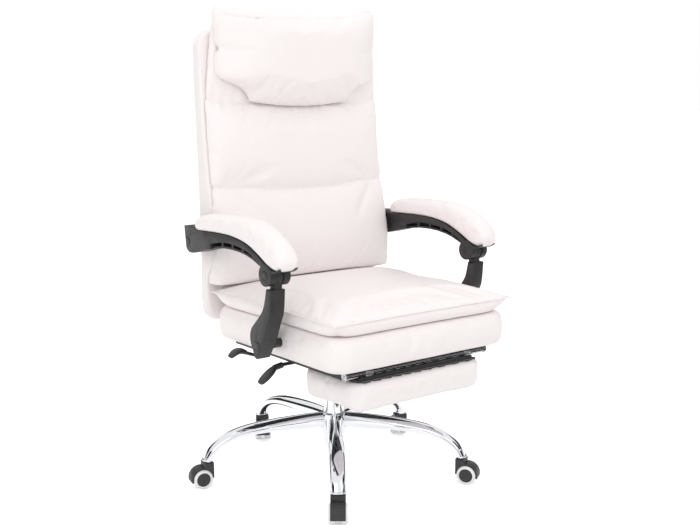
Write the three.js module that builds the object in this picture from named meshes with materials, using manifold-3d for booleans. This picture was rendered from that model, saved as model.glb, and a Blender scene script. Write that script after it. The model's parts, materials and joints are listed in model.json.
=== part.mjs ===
// A reclining office chair: a padded seat and back on a chromed five-legged base, arms that stay
// level while the back leans, and a footrest that slides out from under the seat and turns over.
// Millimetres, +Z up. The chair faces -Y and the origin lies on the floor under the column.
import * as THREE from "three";
import { mergeVertices } from "three/addons/utils/BufferGeometryUtils.js";
import Module from "manifold-3d";

const wasm = await Module();
wasm.setup();
const { degToRad, lerp } = THREE.MathUtils;

// Driving dimensions of the whole chair
const baseReach = 312; // from the column's axis to a caster's stem
const seatBottom = 341; // underside of the seat at the lowest lift
const seatFront = -336; // front of the lower seat cushion
const seatRear = 142; // rear of the lower seat cushion
const seatHalfWidth = 247;
const backBottom = 375; // lower edge of the back shell
const backTop = 1045; // upper edge of the back shell
const backSpread = 7; // how far the back stands past the seat at each side
const backHalfWidth = seatHalfWidth + backSpread;
const shellFrontY = 150; // front face of the back shell at its lower edge

// Pivots of the arm linkage in the side view, as [y, z]
const reclineAxis = [174, 396];
const postPivot = [-140, 380];
const knucklePivot = [-176, 535];
const rearPivot = [158, 568];

// Arms, which hang on those pivots
const armStandOff = 13; // from the seat's side to the inner face of an arm frame
const armInner = seatHalfWidth + armStandOff;
const armThickness = 49;
const armTail = 26; // from the rear pivot to the rear end of an arm frame
const armNose = 65; // from the knuckle to the front end
const armRearY = rearPivot[0] + armTail;
const armLength = armRearY - knucklePivot[0] + armNose;
const kneeDrop = 25;
const armFoot = knucklePivot[1] - kneeDrop; // heights on an arm are counted from here
const armRise = 100;

// Clearances shared by all the pieces
const seatGap = 0.3; // between pieces that rest against each other
const runningGap = 0.5; // between pieces that turn or slide on each other
const linkPlay = 1.6; // slack of the knuckle, which closes the arm linkage
const overrun = 3; // how far a cut passes through a face
const weld = 0.0005; // corners closer than this are one corner

// Facets
const roundSides = 16;
const smallSides = 10;
const knuckleSides = 20;

const upholstery = { color: 0xefe9e7, roughness: 0.55, metalness: 0 };
const blackPlastic = { color: 0x2b2a2c, roughness: 0.5, metalness: 0 };
const chrome = { color: 0xd8dadd, roughness: 0.08, metalness: 1 };
const blackSteel = { color: 0x1d1d1f, roughness: 0.45, metalness: 0.6 };
const zincSteel = { color: 0x9a9da0, roughness: 0.35, metalness: 1 };
const boardCloth = { color: 0x2a282a, roughness: 0.85, metalness: 0 };
const whiteTyre = { color: 0xe9eaec, roughness: 0.6, metalness: 0 };

const chair = new THREE.Group();

function at(x, y, z) {
  return new THREE.Vector3(x, y, z);
}

// A closed geometry as a solid, with its faces turned outwards
function solid(geometry) {
  const bare = geometry.index ? geometry.toNonIndexed() : geometry.clone();
  bare.deleteAttribute("normal");
  bare.deleteAttribute("uv");
  const merged = mergeVertices(bare, weld);
  const corners = merged.attributes.position.array;
  const faces = new Uint32Array(merged.index.array);
  const made = new wasm.Manifold(
    new wasm.Mesh({ numProp: 3, vertProperties: corners, triVerts: faces }),
  );
  if (made.volume() > 0) return made;
  return new wasm.Manifold(
    new wasm.Mesh({ numProp: 3, vertProperties: corners, triVerts: faces.reverse() }),
  );
}

// Adds one named piece to the chair
function piece(name, manifold, finish, holder = chair) {
  const skin = manifold.getMesh();
  const geometry = new THREE.BufferGeometry();
  geometry.setAttribute("position", new THREE.BufferAttribute(skin.vertProperties, 3));
  geometry.setIndex(new THREE.BufferAttribute(skin.triVerts, 1));
  geometry.computeVertexNormals();
  const mesh = new THREE.Mesh(geometry, new THREE.MeshStandardMaterial(finish));
  mesh.name = name;
  holder.add(mesh);
  return mesh;
}

function block(low, high) {
  const size = high.clone().sub(low);
  const middle = low.clone().lerp(high, 0.5);
  const box = new THREE.BoxGeometry(size.x, size.y, size.z);
  return solid(box.translate(middle.x, middle.y, middle.z));
}

function bar(radius, from, to, sides = roundSides) {
  const along = to.clone().sub(from);
  const round = new THREE.CylinderGeometry(radius, radius, along.length(), sides);
  const turn = new THREE.Quaternion().setFromUnitVectors(at(0, 1, 0), along.normalize());
  const middle = from.clone().lerp(to, 0.5);
  return solid(round.applyQuaternion(turn).translate(middle.x, middle.y, middle.z));
}

// A body turned about +Z from [radius, height] pairs that start and end on the axis or close
function turned(profile, sides = roundSides) {
  const points = profile.map(([radius, height]) => new THREE.Vector2(radius, height));
  return solid(new THREE.LatheGeometry(points, sides).rotateX(Math.PI / 2));
}

// The same, turned about +X through [y, z], with pairs of [radius, x]
function turnedAcross(profile, [y, z], sides = roundSides) {
  const points = profile.map(([radius, x]) => new THREE.Vector2(radius, x));
  const body = new THREE.LatheGeometry(points, sides).rotateZ(-Math.PI / 2);
  return solid(body.translate(0, y, z));
}

// A plate whose outline of [y, z] points reaches from x = low to x = high
function sidePlate(outline, low, high, bevel = 0) {
  const shape = new THREE.Shape(outline.map(([y, z]) => new THREE.Vector2(y, z)));
  const plate = new THREE.ExtrudeGeometry(shape, {
    depth: high - low - 2 * bevel,
    bevelEnabled: bevel > 0,
    bevelThickness: bevel,
    bevelSize: bevel,
    bevelOffset: -bevel,
    bevelSegments: 1,
  });
  const toSide = new THREE.Matrix4().makeBasis(at(0, 1, 0), at(0, 0, 1), at(1, 0, 0));
  return solid(plate.translate(0, 0, low + bevel).applyMatrix4(toSide));
}

// A closed skin over rings of equal counts of points, with a fan over each end
function loft(rings) {
  const count = rings[0].length;
  const middle = (ring) => ring.reduce((sum, p) => sum.add(p), at(0, 0, 0)).divideScalar(count);
  const points = [...rings.flat(), middle(rings[0]), middle(rings.at(-1))];
  const [start, finish] = [points.length - 2, points.length - 1];
  const faces = [];
  for (let i = 0; i < count; i++) {
    const next = (i + 1) % count;
    for (let k = 0; k + 1 < rings.length; k++) {
      const [a, b] = [k * count + i, k * count + next];
      faces.push(a, b, b + count, a, b + count, a + count);
    }
    const last = (rings.length - 1) * count;
    faces.push(start, next, i, finish, last + i, last + next);
  }
  return solid(new THREE.BufferGeometry().setFromPoints(points).setIndex(faces));
}

// A padded piece: a sheet of columns x rows over u, v from -1 to 1, then the loops of its
// gusset round the sheet's edge, and a flat underside that closes the last loop
function padded(columns, rows, sheet, gusset) {
  const points = [];
  const faces = [];
  const across = (i) => (2 * i) / columns - 1;
  const upward = (j) => (2 * j) / rows - 1;
  for (let j = 0; j <= rows; j++)
    for (let i = 0; i <= columns; i++) points.push(sheet(across(i), upward(j)));
  for (let j = 0; j < rows; j++)
    for (let i = 0; i < columns; i++) {
      const a = j * (columns + 1) + i;
      const b = a + columns + 1;
      faces.push(a, a + 1, b + 1, a, b + 1, b);
    }
  const edge = [];
  for (let i = 0; i < columns; i++) edge.push([i, 0]);
  for (let j = 0; j < rows; j++) edge.push([columns, j]);
  for (let i = columns; i > 0; i--) edge.push([i, rows]);
  for (let j = rows; j > 0; j--) edge.push([0, j]);
  let loop = edge.map(([i, j]) => j * (columns + 1) + i);
  for (const ring of gusset) {
    const start = points.length;
    for (const [i, j] of edge) points.push(ring(across(i), upward(j)));
    for (let k = 0; k < edge.length; k++) {
      const next = (k + 1) % edge.length;
      faces.push(loop[next], loop[k], start + k, loop[next], start + k, start + next);
    }
    loop = edge.map((_, k) => start + k);
  }
  const under = loop.map((k) => points[k]);
  const centre = under.reduce((sum, p) => sum.add(p), at(0, 0, 0)).divideScalar(under.length);
  points.push(centre);
  for (let k = 0; k < loop.length; k++)
    faces.push(loop[(k + 1) % loop.length], loop[k], points.length - 1);
  return solid(new THREE.BufferGeometry().setFromPoints(points).setIndex(faces));
}

// A smooth run through [a, b] points, as that many steps
function smooth(points, steps) {
  const curve = new THREE.SplineCurve(points.map(([a, b]) => new THREE.Vector2(a, b)));
  return curve.getPoints(steps).map((p) => [p.x, p.y]);
}

// The value at a place in a table of [place, value] pairs, straight between them
function along(table, place, column = 1) {
  let k = 1;
  while (k < table.length - 1 && table[k][0] < place) k++;
  const share = (place - table[k - 1][0]) / (table[k][0] - table[k - 1][0]);
  return lerp(table[k - 1][column], table[k][column], share);
}

// Star base: five arched legs pressed from tube, welded to a hub that holds the column
const legCount = 5;
const frontLegTurn = degToRad(-35.5);
const hubRadius = 31;
const hubTop = 146;
const hubBottom = 98;
const columnRadius = 25;
const legCrown = 130; // height of a leg's middle where it runs level
const legFoot = 62; // height of a leg's open end
const legDepth = 38; // a leg's height at the hub
const legWidth = 37; // a leg's greatest width
const legSectionPoints = 12;
// Share of the reach, of the rise above the foot, of the depth and of the width
const legShares = [
  [0.07, 0.97, 1, 0.7],
  [0.2, 0.99, 0.97, 0.76],
  [0.36, 1, 0.88, 0.88],
  [0.53, 0.99, 0.74, 0.97],
  [0.69, 0.93, 0.65, 1],
  [0.81, 0.79, 0.6, 0.99],
  [0.9, 0.57, 0.57, 0.96],
  [0.965, 0.3, 0.56, 0.92],
  [1, 0, 0.56, 0.88],
];
const stemRadius = 5.5;
const stemLength = 8; // how far the stem's hole reaches into a foot

function legRings() {
  const middles = legShares.map(([reach, rise]) =>
    at(0, -reach * baseReach, lerp(legFoot, legCrown, rise)),
  );
  return middles.map((middle, k) => {
    const before = middles[Math.max(k - 1, 0)];
    const after = middles[Math.min(k + 1, middles.length - 1)];
    const run = after.clone().sub(before).normalize();
    const open = k === middles.length - 1;
    const up = open ? at(0, -1, 0) : at(0, run.z, -run.y);
    const halfDepth = (legShares[k][2] * legDepth) / 2;
    const halfWidth = (legShares[k][3] * legWidth) / 2;
    return Array.from({ length: legSectionPoints }, (_, i) => {
      const turn = (2 * Math.PI * i) / legSectionPoints;
      const side = Math.cos(turn) * halfWidth;
      const raise = Math.sin(turn) * halfDepth;
      return middle.clone().add(at(side, 0, 0)).addScaledVector(up, raise);
    });
  });
}

const hubRim = 3; // chamfer of the hub's edges
const hub = turned([
  [0, hubBottom],
  [hubRadius - hubRim, hubBottom],
  [hubRadius, hubBottom + hubRim],
  [hubRadius, hubTop - hubRim],
  [hubRadius - hubRim, hubTop],
  [0, hubTop],
]);
const leg = loft(legRings()).subtract(
  bar(
    stemRadius + runningGap,
    at(0, -baseReach, legFoot - overrun),
    at(0, -baseReach, legFoot + stemLength),
  ),
);
const legTurns = Array.from({ length: legCount }, (_, k) => frontLegTurn + (2 * Math.PI * k) / legCount);
let star = hub;
for (const turn of legTurns) star = star.add(leg.rotate([0, 0, THREE.MathUtils.radToDeg(turn)]));
const columnBore = bar(
  columnRadius + seatGap,
  at(0, 0, hubBottom - overrun),
  at(0, 0, hubTop + overrun),
);
piece("star_base", star.subtract(columnBore), chrome);

// Gas lift: an outer tube in the hub, a piston rod on a thrust bearing at its floor, and a
// pressure tube that slides in the outer tube's guide and carries the seat
const columnBottom = 68;
const columnTop = 262;
const columnWall = 2.5;
const columnFloor = 4;
const guideLength = 38; // the bushing at the mouth of the outer tube
const pressureRadius = 14;
const pressureWall = 2.5;
const pressureBottom = 100; // at the lowest lift
const rodRadius = 5;
const pistonHeight = 16;
const rodTop = 205;
const bearingHeight = 7;
const bearingRadius = 16;
const clipHeight = 3;
const clipRadius = 9;
const socketDepth = 30; // how far the tube's top sits in the mechanism
const mechanismBottom = 292;

piece(
  "column_tube",
  turned([
    [rodRadius + runningGap, columnBottom],
    [columnRadius, columnBottom],
    [columnRadius, columnTop - columnWall],
    [columnRadius - columnWall, columnTop],
    [pressureRadius + runningGap, columnTop],
    [pressureRadius + runningGap, columnTop - guideLength],
    [columnRadius - columnWall, columnTop - guideLength],
    [columnRadius - columnWall, columnBottom + columnFloor],
    [rodRadius + runningGap, columnBottom + columnFloor],
    [rodRadius + runningGap, columnBottom],
  ]),
  chrome,
);

function ring(inner, outer, low, high) {
  return turned([
    [inner, low],
    [outer, low],
    [outer, high],
    [inner, high],
    [inner, low],
  ]);
}

const bearingBottom = columnBottom + columnFloor + seatGap;
piece(
  "thrust_bearing",
  ring(rodRadius + runningGap, bearingRadius, bearingBottom, bearingBottom + bearingHeight),
  zincSteel,
);
const clipTop = columnBottom - seatGap;
piece(
  "retaining_clip",
  ring(rodRadius + seatGap, clipRadius, clipTop - clipHeight, clipTop),
  zincSteel,
);
const rodShoulder = bearingBottom + bearingHeight + seatGap; // the rod's collar stands on the bearing
const rodShoulderRadius = 11;
const rodShoulderHeight = 6;
const pistonRadius = pressureRadius - pressureWall - runningGap;
piece(
  "piston_rod",
  turned([
    [0, clipTop - 2 * clipHeight],
    [rodRadius, clipTop - 2 * clipHeight],
    [rodRadius, rodShoulder],
    [rodShoulderRadius, rodShoulder],
    [rodShoulderRadius, rodShoulder + rodShoulderHeight],
    [rodRadius, rodShoulder + rodShoulderHeight],
    [rodRadius, rodTop - pistonHeight],
    [pistonRadius, rodTop - pistonHeight],
    [pistonRadius, rodTop],
    [0, rodTop],
  ]),
  zincSteel,
);
const pressureTop = mechanismBottom + socketDepth;
piece(
  "pressure_tube",
  turned([
    [rodRadius + runningGap, pressureBottom],
    [pressureRadius, pressureBottom],
    [pressureRadius, pressureTop],
    [0, pressureTop],
    [0, pressureTop - pressureRadius],
    [pressureRadius - pressureWall, pressureTop - pressureRadius],
    [pressureRadius - pressureWall, pressureBottom + columnFloor],
    [rodRadius + runningGap, pressureBottom + columnFloor],
    [rodRadius + runningGap, pressureBottom],
  ]),
  blackSteel,
);

// Casters: a black hood on a stem, with a white-tyred wheel on each end of its axle
const wheelRadius = 22.5;
const wheelWidth = 17;
const hoodRadius = 26.5;
const hoodWidth = 33;
const hoodWeb = 7; // the wall between the two wheels
const hoodTop = 59.5;
const hoodSkirt = 13; // height of the hood's lower edge
const hoodNeck = 11; // half the length of the block under the stem
const casterTrail = 15; // from the stem's axis back to the axle
const axleRadius = 4;
const wheelBevel = 2.5;
const capRadius = 16;
const capInset = 1.5;
const hoodSteps = 12;
const hoodTurnShares = [-0.08, 0.86]; // start and end of the hood's dome, in half turns
// The way each caster trails, counted as the legs are
const casterTurns = [-38, 32, 152, -30, -103].map(degToRad);

function hoodOutline() {
  return Array.from({ length: hoodSteps + 1 }, (_, i) => {
    const turn = Math.PI * lerp(...hoodTurnShares, i / hoodSteps);
    return [
      -casterTrail - Math.cos(turn) * hoodRadius,
      Math.max(wheelRadius + Math.sin(turn) * hoodRadius, hoodSkirt),
    ];
  });
}

function casterHood() {
  const dome = sidePlate(hoodOutline(), -hoodWidth / 2, hoodWidth / 2);
  const neck = block(
    at(-hoodWidth / 2, -hoodNeck, wheelRadius),
    at(hoodWidth / 2, hoodNeck, hoodTop),
  );
  const stem = bar(stemRadius, at(0, 0, hoodTop - overrun), at(0, 0, legFoot + stemLength - runningGap));
  const wheelRoom = (side) =>
    bar(
      wheelRadius + runningGap,
      at((side * hoodWeb) / 2, -casterTrail, wheelRadius),
      at(side * (hoodWidth / 2 + overrun), -casterTrail, wheelRadius),
      2 * smallSides,
    );
  const axle = bar(
    axleRadius,
    at(-hoodWidth / 2 - capInset, -casterTrail, wheelRadius),
    at(hoodWidth / 2 + capInset, -casterTrail, wheelRadius),
    smallSides,
  );
  return dome.add(neck).subtract(wheelRoom(1)).subtract(wheelRoom(-1)).add(axle).add(stem);
}

// A wheel about +X, from its inner face at x = 0 to its outer face, closed over the axle's end
function casterWheel() {
  const bore = axleRadius + runningGap;
  const axleEnd = hoodWidth / 2 + capInset - hoodWeb / 2 - runningGap;
  return turnedAcross(
    [
      [bore, 0],
      [wheelRadius - wheelBevel, 0],
      [wheelRadius, wheelBevel],
      [wheelRadius, wheelWidth - wheelBevel],
      [wheelRadius - wheelBevel, wheelWidth],
      [capRadius, wheelWidth - capInset],
      [0, wheelWidth - capInset],
      [0, axleEnd + runningGap],
      [bore, axleEnd + runningGap],
      [bore, 0],
    ],
    [0, 0],
  );
}

for (let k = 0; k < legCount; k++) {
  const caster = new THREE.Group();
  const leads = legTurns[k];
  caster.position.set(Math.sin(leads) * baseReach, -Math.cos(leads) * baseReach, 0);
  caster.rotation.z = casterTurns[k];
  chair.add(caster);
  piece(`caster_hood_${k + 1}`, casterHood(), blackPlastic, caster);
  for (const [label, side] of [
    ["a", 1],
    ["b", -1],
  ]) {
    const wheel = piece(`caster_wheel_${k + 1}${label}`, casterWheel(), whiteTyre, caster);
    wheel.position.set(side * (hoodWeb / 2 + runningGap), -casterTrail, wheelRadius);
    if (side < 0) wheel.rotation.z = Math.PI;
  }
}

// Seat: a cloth-covered board let into the underside of a boxed cushion, with a sewn pad on top
const boardThickness = 12;
const boardInset = 34; // from the cushion's sides to the board's edge
const cushionTop = 417;
const cushionCorner = 56; // radius of the cushion's upright corners
const cushionRoll = 14; // how far the cushion's upper and lower edges draw in
const cushionBulge = 3;
const cornerSteps = 5;
const boardTop = seatBottom + boardThickness;
const boardHalfWidth = seatHalfWidth - boardInset;
const boardFront = seatFront + boardInset;
const boardRear = seatRear - cushionRoll;

// A rounded rectangle at one height, drawn in by inset all round
function roundedRing(halfWidth, front, rear, radius, height, inset) {
  const corners = [
    [halfWidth - radius, rear - radius, 0],
    [radius - halfWidth, rear - radius, Math.PI / 2],
    [radius - halfWidth, front + radius, Math.PI],
    [halfWidth - radius, front + radius, (3 * Math.PI) / 2],
  ];
  return corners.flatMap(([x, y, start]) =>
    Array.from({ length: cornerSteps + 1 }, (_, i) => {
      const turn = start + (Math.PI * i) / (2 * cornerSteps);
      const reach = radius - inset;
      return at(x + Math.cos(turn) * reach, y + Math.sin(turn) * reach, height);
    }),
  );
}

// Height share of the cushion's side, and the share of the roll by which it draws in
const cushionSideShares = [
  [0, 1],
  [0.06, 0.4],
  [0.17, 0],
  [0.83, 0],
  [0.94, 0.4],
  [1, 1],
];
const cushionSkin = loft(
  cushionSideShares.map(([rise, draw]) => {
    const bulge = cushionBulge * Math.sin(Math.PI * rise);
    const height = lerp(seatBottom, cushionTop, rise);
    return roundedRing(
      seatHalfWidth, seatFront, seatRear, cushionCorner, height, draw * cushionRoll - bulge,
    );
  }),
);
const boardRoom = block(
  at(-boardHalfWidth - seatGap, boardFront - seatGap, seatBottom - overrun),
  at(boardHalfWidth + seatGap, boardRear + seatGap, boardTop + seatGap),
);
const postSeatRadius = 10; // the boss of a post bolt and its seat in the cushion's side
const postSeatInset = 5;
const boltSeat = (side, depth) =>
  bar(
    postSeatRadius + runningGap,
    at(side * (seatHalfWidth - depth), ...postPivot),
    at(side * (seatHalfWidth + postSeatRadius), ...postPivot),
  );
piece(
  "seat_base_cushion",
  cushionSkin
    .subtract(boardRoom)
    .subtract(boltSeat(1, postSeatInset))
    .subtract(boltSeat(-1, postSeatInset)),
  upholstery,
);
piece(
  "seat_board",
  block(at(-boardHalfWidth, boardFront, seatBottom), at(boardHalfWidth, boardRear, boardTop)),
  boardCloth,
);

const padFront = -335;
const padRear = 142;
const padSpread = 3; // how far the pad stands past the cushion at each side
const padHalfWidth = seatHalfWidth + padSpread;
const pipingHeight = 447; // the sewn edge between the pad's top and its gusset
const padCrown = 30;
const padDraw = 7; // how far the pad's edges draw in between its corners
const gussetBulge = 4;
const gussetInset = 9;
const padBottom = cushionTop + seatGap;
const padMiddle = (padFront + padRear) / 2;
const padHalfLength = (padRear - padFront) / 2;
// A place on the pad's edge or inside it, moved outwards by spread at the edge
function padPlace(u, v, height, spread) {
  const x = u * (padHalfWidth + spread - padDraw * (1 - v * v));
  const y = padMiddle + v * (padHalfLength + spread - padDraw * (1 - u * u));
  return at(x, y, height);
}
const gussetMiddleShare = 0.55; // height of the gusset's widest line
const gussetMiddle = lerp(padBottom, pipingHeight, gussetMiddleShare);
const padColumns = 12;
const seatPad = padded(
  padColumns,
  padColumns,
  (u, v) => padPlace(u, v, pipingHeight + padCrown * Math.sqrt((1 - u ** 4) * (1 - v ** 4)), 0),
  [
    (u, v) => padPlace(u, v, gussetMiddle, gussetBulge - gussetInset / 2),
    (u, v) => padPlace(u, v, padBottom, -gussetInset),
  ],
);
piece("seat_pad", seatPad, upholstery);

// Footrest guides: steel channels under the board, open towards each other
const runnerWidth = 14;
const runnerHeight = 15;
const channelWall = 2;
const footrestFlank = 188; // from the middle to the middle of a runner
const guideFront = -284;
const guideRear = 122;
const runnerRear = 100;
const barDrop = 11; // from the seat's underside down to the middle of the runners
const barHeight = seatBottom - barDrop;
const barFront = -300;
const barRadius = 8;
const barOverhang = 8; // how far the bar runs past a runner's middle
const barHalfLength = footrestFlank + barOverhang;
const underBoard = seatBottom - seatGap;

function guide(side) {
  const channelHalf = runnerWidth / 2 + runningGap;
  const outer = block(
    at(-channelHalf - channelWall, guideFront, barHeight - runnerHeight / 2 - runningGap - channelWall),
    at(channelHalf + channelWall, guideRear, underBoard),
  );
  const inner = block(
    at(-channelHalf - 2 * channelWall, guideFront - overrun, barHeight - runnerHeight / 2 - runningGap),
    at(channelHalf, guideRear + overrun, barHeight + runnerHeight / 2 + runningGap),
  );
  const channel = outer.subtract(inner);
  return side > 0 ? channel : channel.mirror([1, 0, 0]);
}
for (const [label, side] of [
  ["left", 1],
  ["right", -1],
]) {
  const rail = piece(`footrest_guide_${label}`, guide(side), blackSteel);
  rail.position.x = side * footrestFlank;
}

// Seat mechanism: a pressed tray that takes the column's top, with a flange under the board
// and ears that carry the two levers
const trayHalfWidth = 62;
const trayFront = -105;
const trayRear = 128;
const plateThickness = 3;
const flangeHalfWidth = 88;
const flangeRear = 140;
const flangeFront = -118;
const leverPivotX = -150; // the levers turn here, beside the tray
const leverPivotZ = 311;
const heightLeverY = 32;
const reclineLeverY = -80;
const earThickness = 3;
const earHalfWidth = 8;
const leverHubLength = 10;
const leverPinRadius = 3;

function leverEars(y) {
  const outer = leverHubLength / 2 + runningGap + earThickness;
  const arm = block(
    at(leverPivotX - earHalfWidth, y - outer, underBoard - plateThickness),
    at(-trayHalfWidth, y + outer, underBoard),
  );
  const ear = (side) =>
    block(
      at(
        leverPivotX - earHalfWidth,
        y + (side > 0 ? outer - earThickness : -outer),
        leverPivotZ - earHalfWidth,
      ),
      at(
        leverPivotX + earHalfWidth,
        y + (side > 0 ? outer : earThickness - outer),
        underBoard,
      ),
    );
  const pin = bar(
    leverPinRadius,
    at(leverPivotX, y - outer, leverPivotZ),
    at(leverPivotX, y + outer, leverPivotZ),
    smallSides,
  );
  return arm.add(ear(1)).add(ear(-1)).add(pin);
}
const tray = block(
  at(-trayHalfWidth, trayFront, mechanismBottom),
  at(trayHalfWidth, trayRear, underBoard),
);
const flange = block(
  at(-flangeHalfWidth, flangeFront, underBoard - plateThickness),
  at(flangeHalfWidth, flangeRear, underBoard),
);
const columnSocket = bar(
  pressureRadius + seatGap,
  at(0, 0, mechanismBottom - overrun),
  at(0, 0, pressureTop + seatGap),
);
// The tray's lower corners are pressed in at a slope
const traySlope = 18;
const slopeCut = (side) => {
  const outline = [
    [trayFront - overrun, mechanismBottom - overrun],
    [trayFront + traySlope, mechanismBottom - overrun],
    [trayFront - overrun, mechanismBottom + traySlope],
  ];
  const cut = sidePlate(outline, -trayHalfWidth - overrun, trayHalfWidth + overrun);
  return side > 0 ? cut : cut.mirror([0, 1, 0]).translate([0, trayFront + trayRear, 0]);
};
piece(
  "seat_mechanism",
  tray
    .subtract(slopeCut(1))
    .subtract(slopeCut(-1))
    .add(flange)
    .subtract(columnSocket)
    .add(leverEars(heightLeverY))
    .add(leverEars(reclineLeverY)),
  blackSteel,
);

// Levers: a steel rod in a hub, passing under the guide to a moulded paddle
const leverRodRadius = 4;
const leverHubRadius = 7;
const leverBendX = -203; // the rod turns towards its paddle just outside the guide
const paddleWidth = 26;
const paddleThickness = 13;
const sleeveRadius = 7; // ribbed sleeve of the recline lever
const sleeveGapShare = 0.4; // of the room of one rib, before it begins
const sleeveRibs = 4;
const paddleReach = 67; // from the rod's bend out to the height paddle's tip
// Middle line of each paddle, in shares of that reach outwards from the bend and upwards
const heightPaddleShares = [
  [0.34, 0.12],
  [0.55, 0.22],
  [0.76, 0.21],
  [1, 0.06],
];
const reclinePaddleShares = [
  [0.3, -0.05],
  [0.49, -0.19],
  [0.69, -0.34],
  [0.9, -0.5],
];
// Shares of the paddle's width and of its thickness at the points of its line
const paddleShares = [
  [0.62, 0.85],
  [0.95, 1],
  [1, 0.9],
  [0.7, 0.6],
];

function paddle(line, y) {
  return loft(
    line.map(([x, z], k) => {
      const [wide, thick] = paddleShares[k];
      const [before, after] = [line[Math.max(k - 1, 0)], line[Math.min(k + 1, line.length - 1)]];
      const run = new THREE.Vector2(after[0] - before[0], after[1] - before[1]).normalize();
      return Array.from({ length: smallSides }, (_, i) => {
        const turn = (2 * Math.PI * i) / smallSides;
        const raise = (Math.sin(turn) * thick * paddleThickness) / 2;
        const side = (Math.cos(turn) * wide * paddleWidth) / 2;
        return at(x + run.y * raise, y + side, z - run.x * raise);
      });
    }),
  );
}

function lever(shares, y, sleeve) {
  const line = shares.map(([out, up]) => [leverBendX - out * paddleReach, leverPivotZ + up * paddleReach]);
  const pivot = at(leverPivotX, y, leverPivotZ);
  const bend = at(leverBendX, y, leverPivotZ);
  const root = at(line[0][0], y, line[0][1]);
  const inward = root.clone().lerp(at(line[1][0], y, line[1][1]), 0.5);
  const half = leverHubLength / 2;
  const [front, rear] = [pivot.clone(), pivot.clone()];
  front.y -= half;
  rear.y += half;
  let body = bar(leverHubRadius, front, rear)
    .add(bar(leverRodRadius, pivot, bend, smallSides))
    .add(bar(leverRodRadius, bend, inward, smallSides))
    .add(paddle(line, y));
  if (sleeve)
    for (let k = 0; k < sleeveRibs; k++) {
      const from = bend.clone().lerp(root, (k + sleeveGapShare) / sleeveRibs);
      const to = bend.clone().lerp(root, (k + 1) / sleeveRibs);
      body = body.add(bar(sleeveRadius, from, to, smallSides));
    }
  const bore = bar(
    leverPinRadius + seatGap,
    at(leverPivotX, y - half - overrun, leverPivotZ),
    at(leverPivotX, y + half + overrun, leverPivotZ),
    smallSides,
  );
  return body.subtract(bore);
}
piece("height_lever", lever(heightPaddleShares, heightLeverY, false), blackPlastic);
piece("recline_lever", lever(reclinePaddleShares, reclineLeverY, true), blackPlastic);

// Recline hinge: on each side a seat plate with the pin fused to it, and a back plate whose
// foot the locking strut holds
const plateX = 118; // the plane between the two plates of a hinge
const hingePlate = 4;
const hingePinRadius = 6;
const hingeHeadRadius = 9;
const hingeHeadLength = 4;
const hingeEye = 13;
const crankRadius = 73; // from the recline axis to the strut's pin
const reclineRange = degToRad(40);
const [axisY, axisZ] = reclineAxis;
const crankPin = [
  axisY + crankRadius * Math.sin(reclineRange / 2),
  axisZ - crankRadius * Math.cos(reclineRange / 2),
];
const crankEye = 10;
const crankPinRadius = 4;
const seatPlateFront = 46;
const seatPlateDepth = 24;

function seatHingePlate() {
  const low = plateX + runningGap / 2;
  const high = low + hingePlate;
  const leg = block(
    at(low, seatPlateFront, underBoard - seatPlateDepth),
    at(high, axisY + hingeEye, underBoard),
  );
  const upright = block(
    at(low, axisY - hingeEye, underBoard - seatPlateDepth),
    at(high, axisY + hingeEye, axisZ),
  );
  const eye = bar(hingeEye, at(low, axisY, axisZ), at(high, axisY, axisZ));
  const headHigh = plateX - runningGap / 2 - hingePlate - runningGap;
  const headLow = headHigh - hingeHeadLength;
  const pin = bar(hingePinRadius, at(headLow, axisY, axisZ), at(low, axisY, axisZ));
  const head = bar(hingeHeadRadius, at(headLow, axisY, axisZ), at(headHigh, axisY, axisZ));
  return leg.add(upright).add(eye).add(pin).add(head);
}

const backLeanShare = 0.0245; // how far the back leans for each unit of its height
const boardFrontY = (z) => shellFrontY + (z - backBottom) * backLeanShare;
const backBoardThickness = 11;
const backPlateTop = 520;
const backPlateWidth = 20;

function backHingePlate(withCrank) {
  const high = plateX - runningGap / 2;
  const low = high - hingePlate;
  const boardBack = boardFrontY(backPlateTop) + backBoardThickness + seatGap;
  const strip = sidePlate(
    [
      [boardBack, backPlateTop],
      [boardBack, axisZ + hingeEye],
      [axisY - hingeEye, axisZ],
      [axisY, axisZ - hingeEye],
      [axisY + hingeEye, axisZ],
      [boardBack + backPlateWidth, axisZ + 2 * hingeEye],
      [boardBack + backPlateWidth, backPlateTop],
    ],
    low,
    high,
  );
  const eye = bar(hingeEye, at(low, axisY, axisZ), at(high, axisY, axisZ));
  const crankWay = sidePlate(
    [
      [axisY - crankEye, axisZ],
      [crankPin[0] - crankEye, crankPin[1]],
      [crankPin[0] + crankEye, crankPin[1]],
      [axisY + crankEye, axisZ],
    ],
    low,
    high,
  );
  const foot = bar(crankEye, at(low, ...crankPin), at(high, ...crankPin));
  const strutPin = bar(
    crankPinRadius,
    at(strutX - strutEyeWidth, ...crankPin),
    at(low + hingePlate / 2, ...crankPin),
    smallSides,
  );
  const bore = bar(
    hingePinRadius + seatGap,
    at(low - overrun, axisY, axisZ),
    at(high + overrun, axisY, axisZ),
  );
  const body = strip.add(eye).add(crankWay).add(foot);
  return (withCrank ? body.add(strutPin) : body).subtract(bore);
}

// Locking strut of the recline: a gas spring whose rod end takes the back plate's foot
const strutX = 100;
const strutRadius = 10;
const strutRodRadius = 4;
const strutEyeWidth = 8;
const strutFront = -70;
const strutMouth = 104;
const strutWall = 3;
const strutRod = 60; // how much of the rod stays inside when the back is upright
const strutZ = (crankPin[1] + axisZ - crankRadius) / 2;
const strutSlack = runningGap + (crankPin[1] - (axisZ - crankRadius)) / 2; // the pin's rise and fall
const strutEyeRadius = crankPinRadius + strutSlack + strutRodRadius;
const strutFlange = 14;
const strutStroke = 2 * crankRadius * Math.sin(reclineRange / 2);

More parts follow.
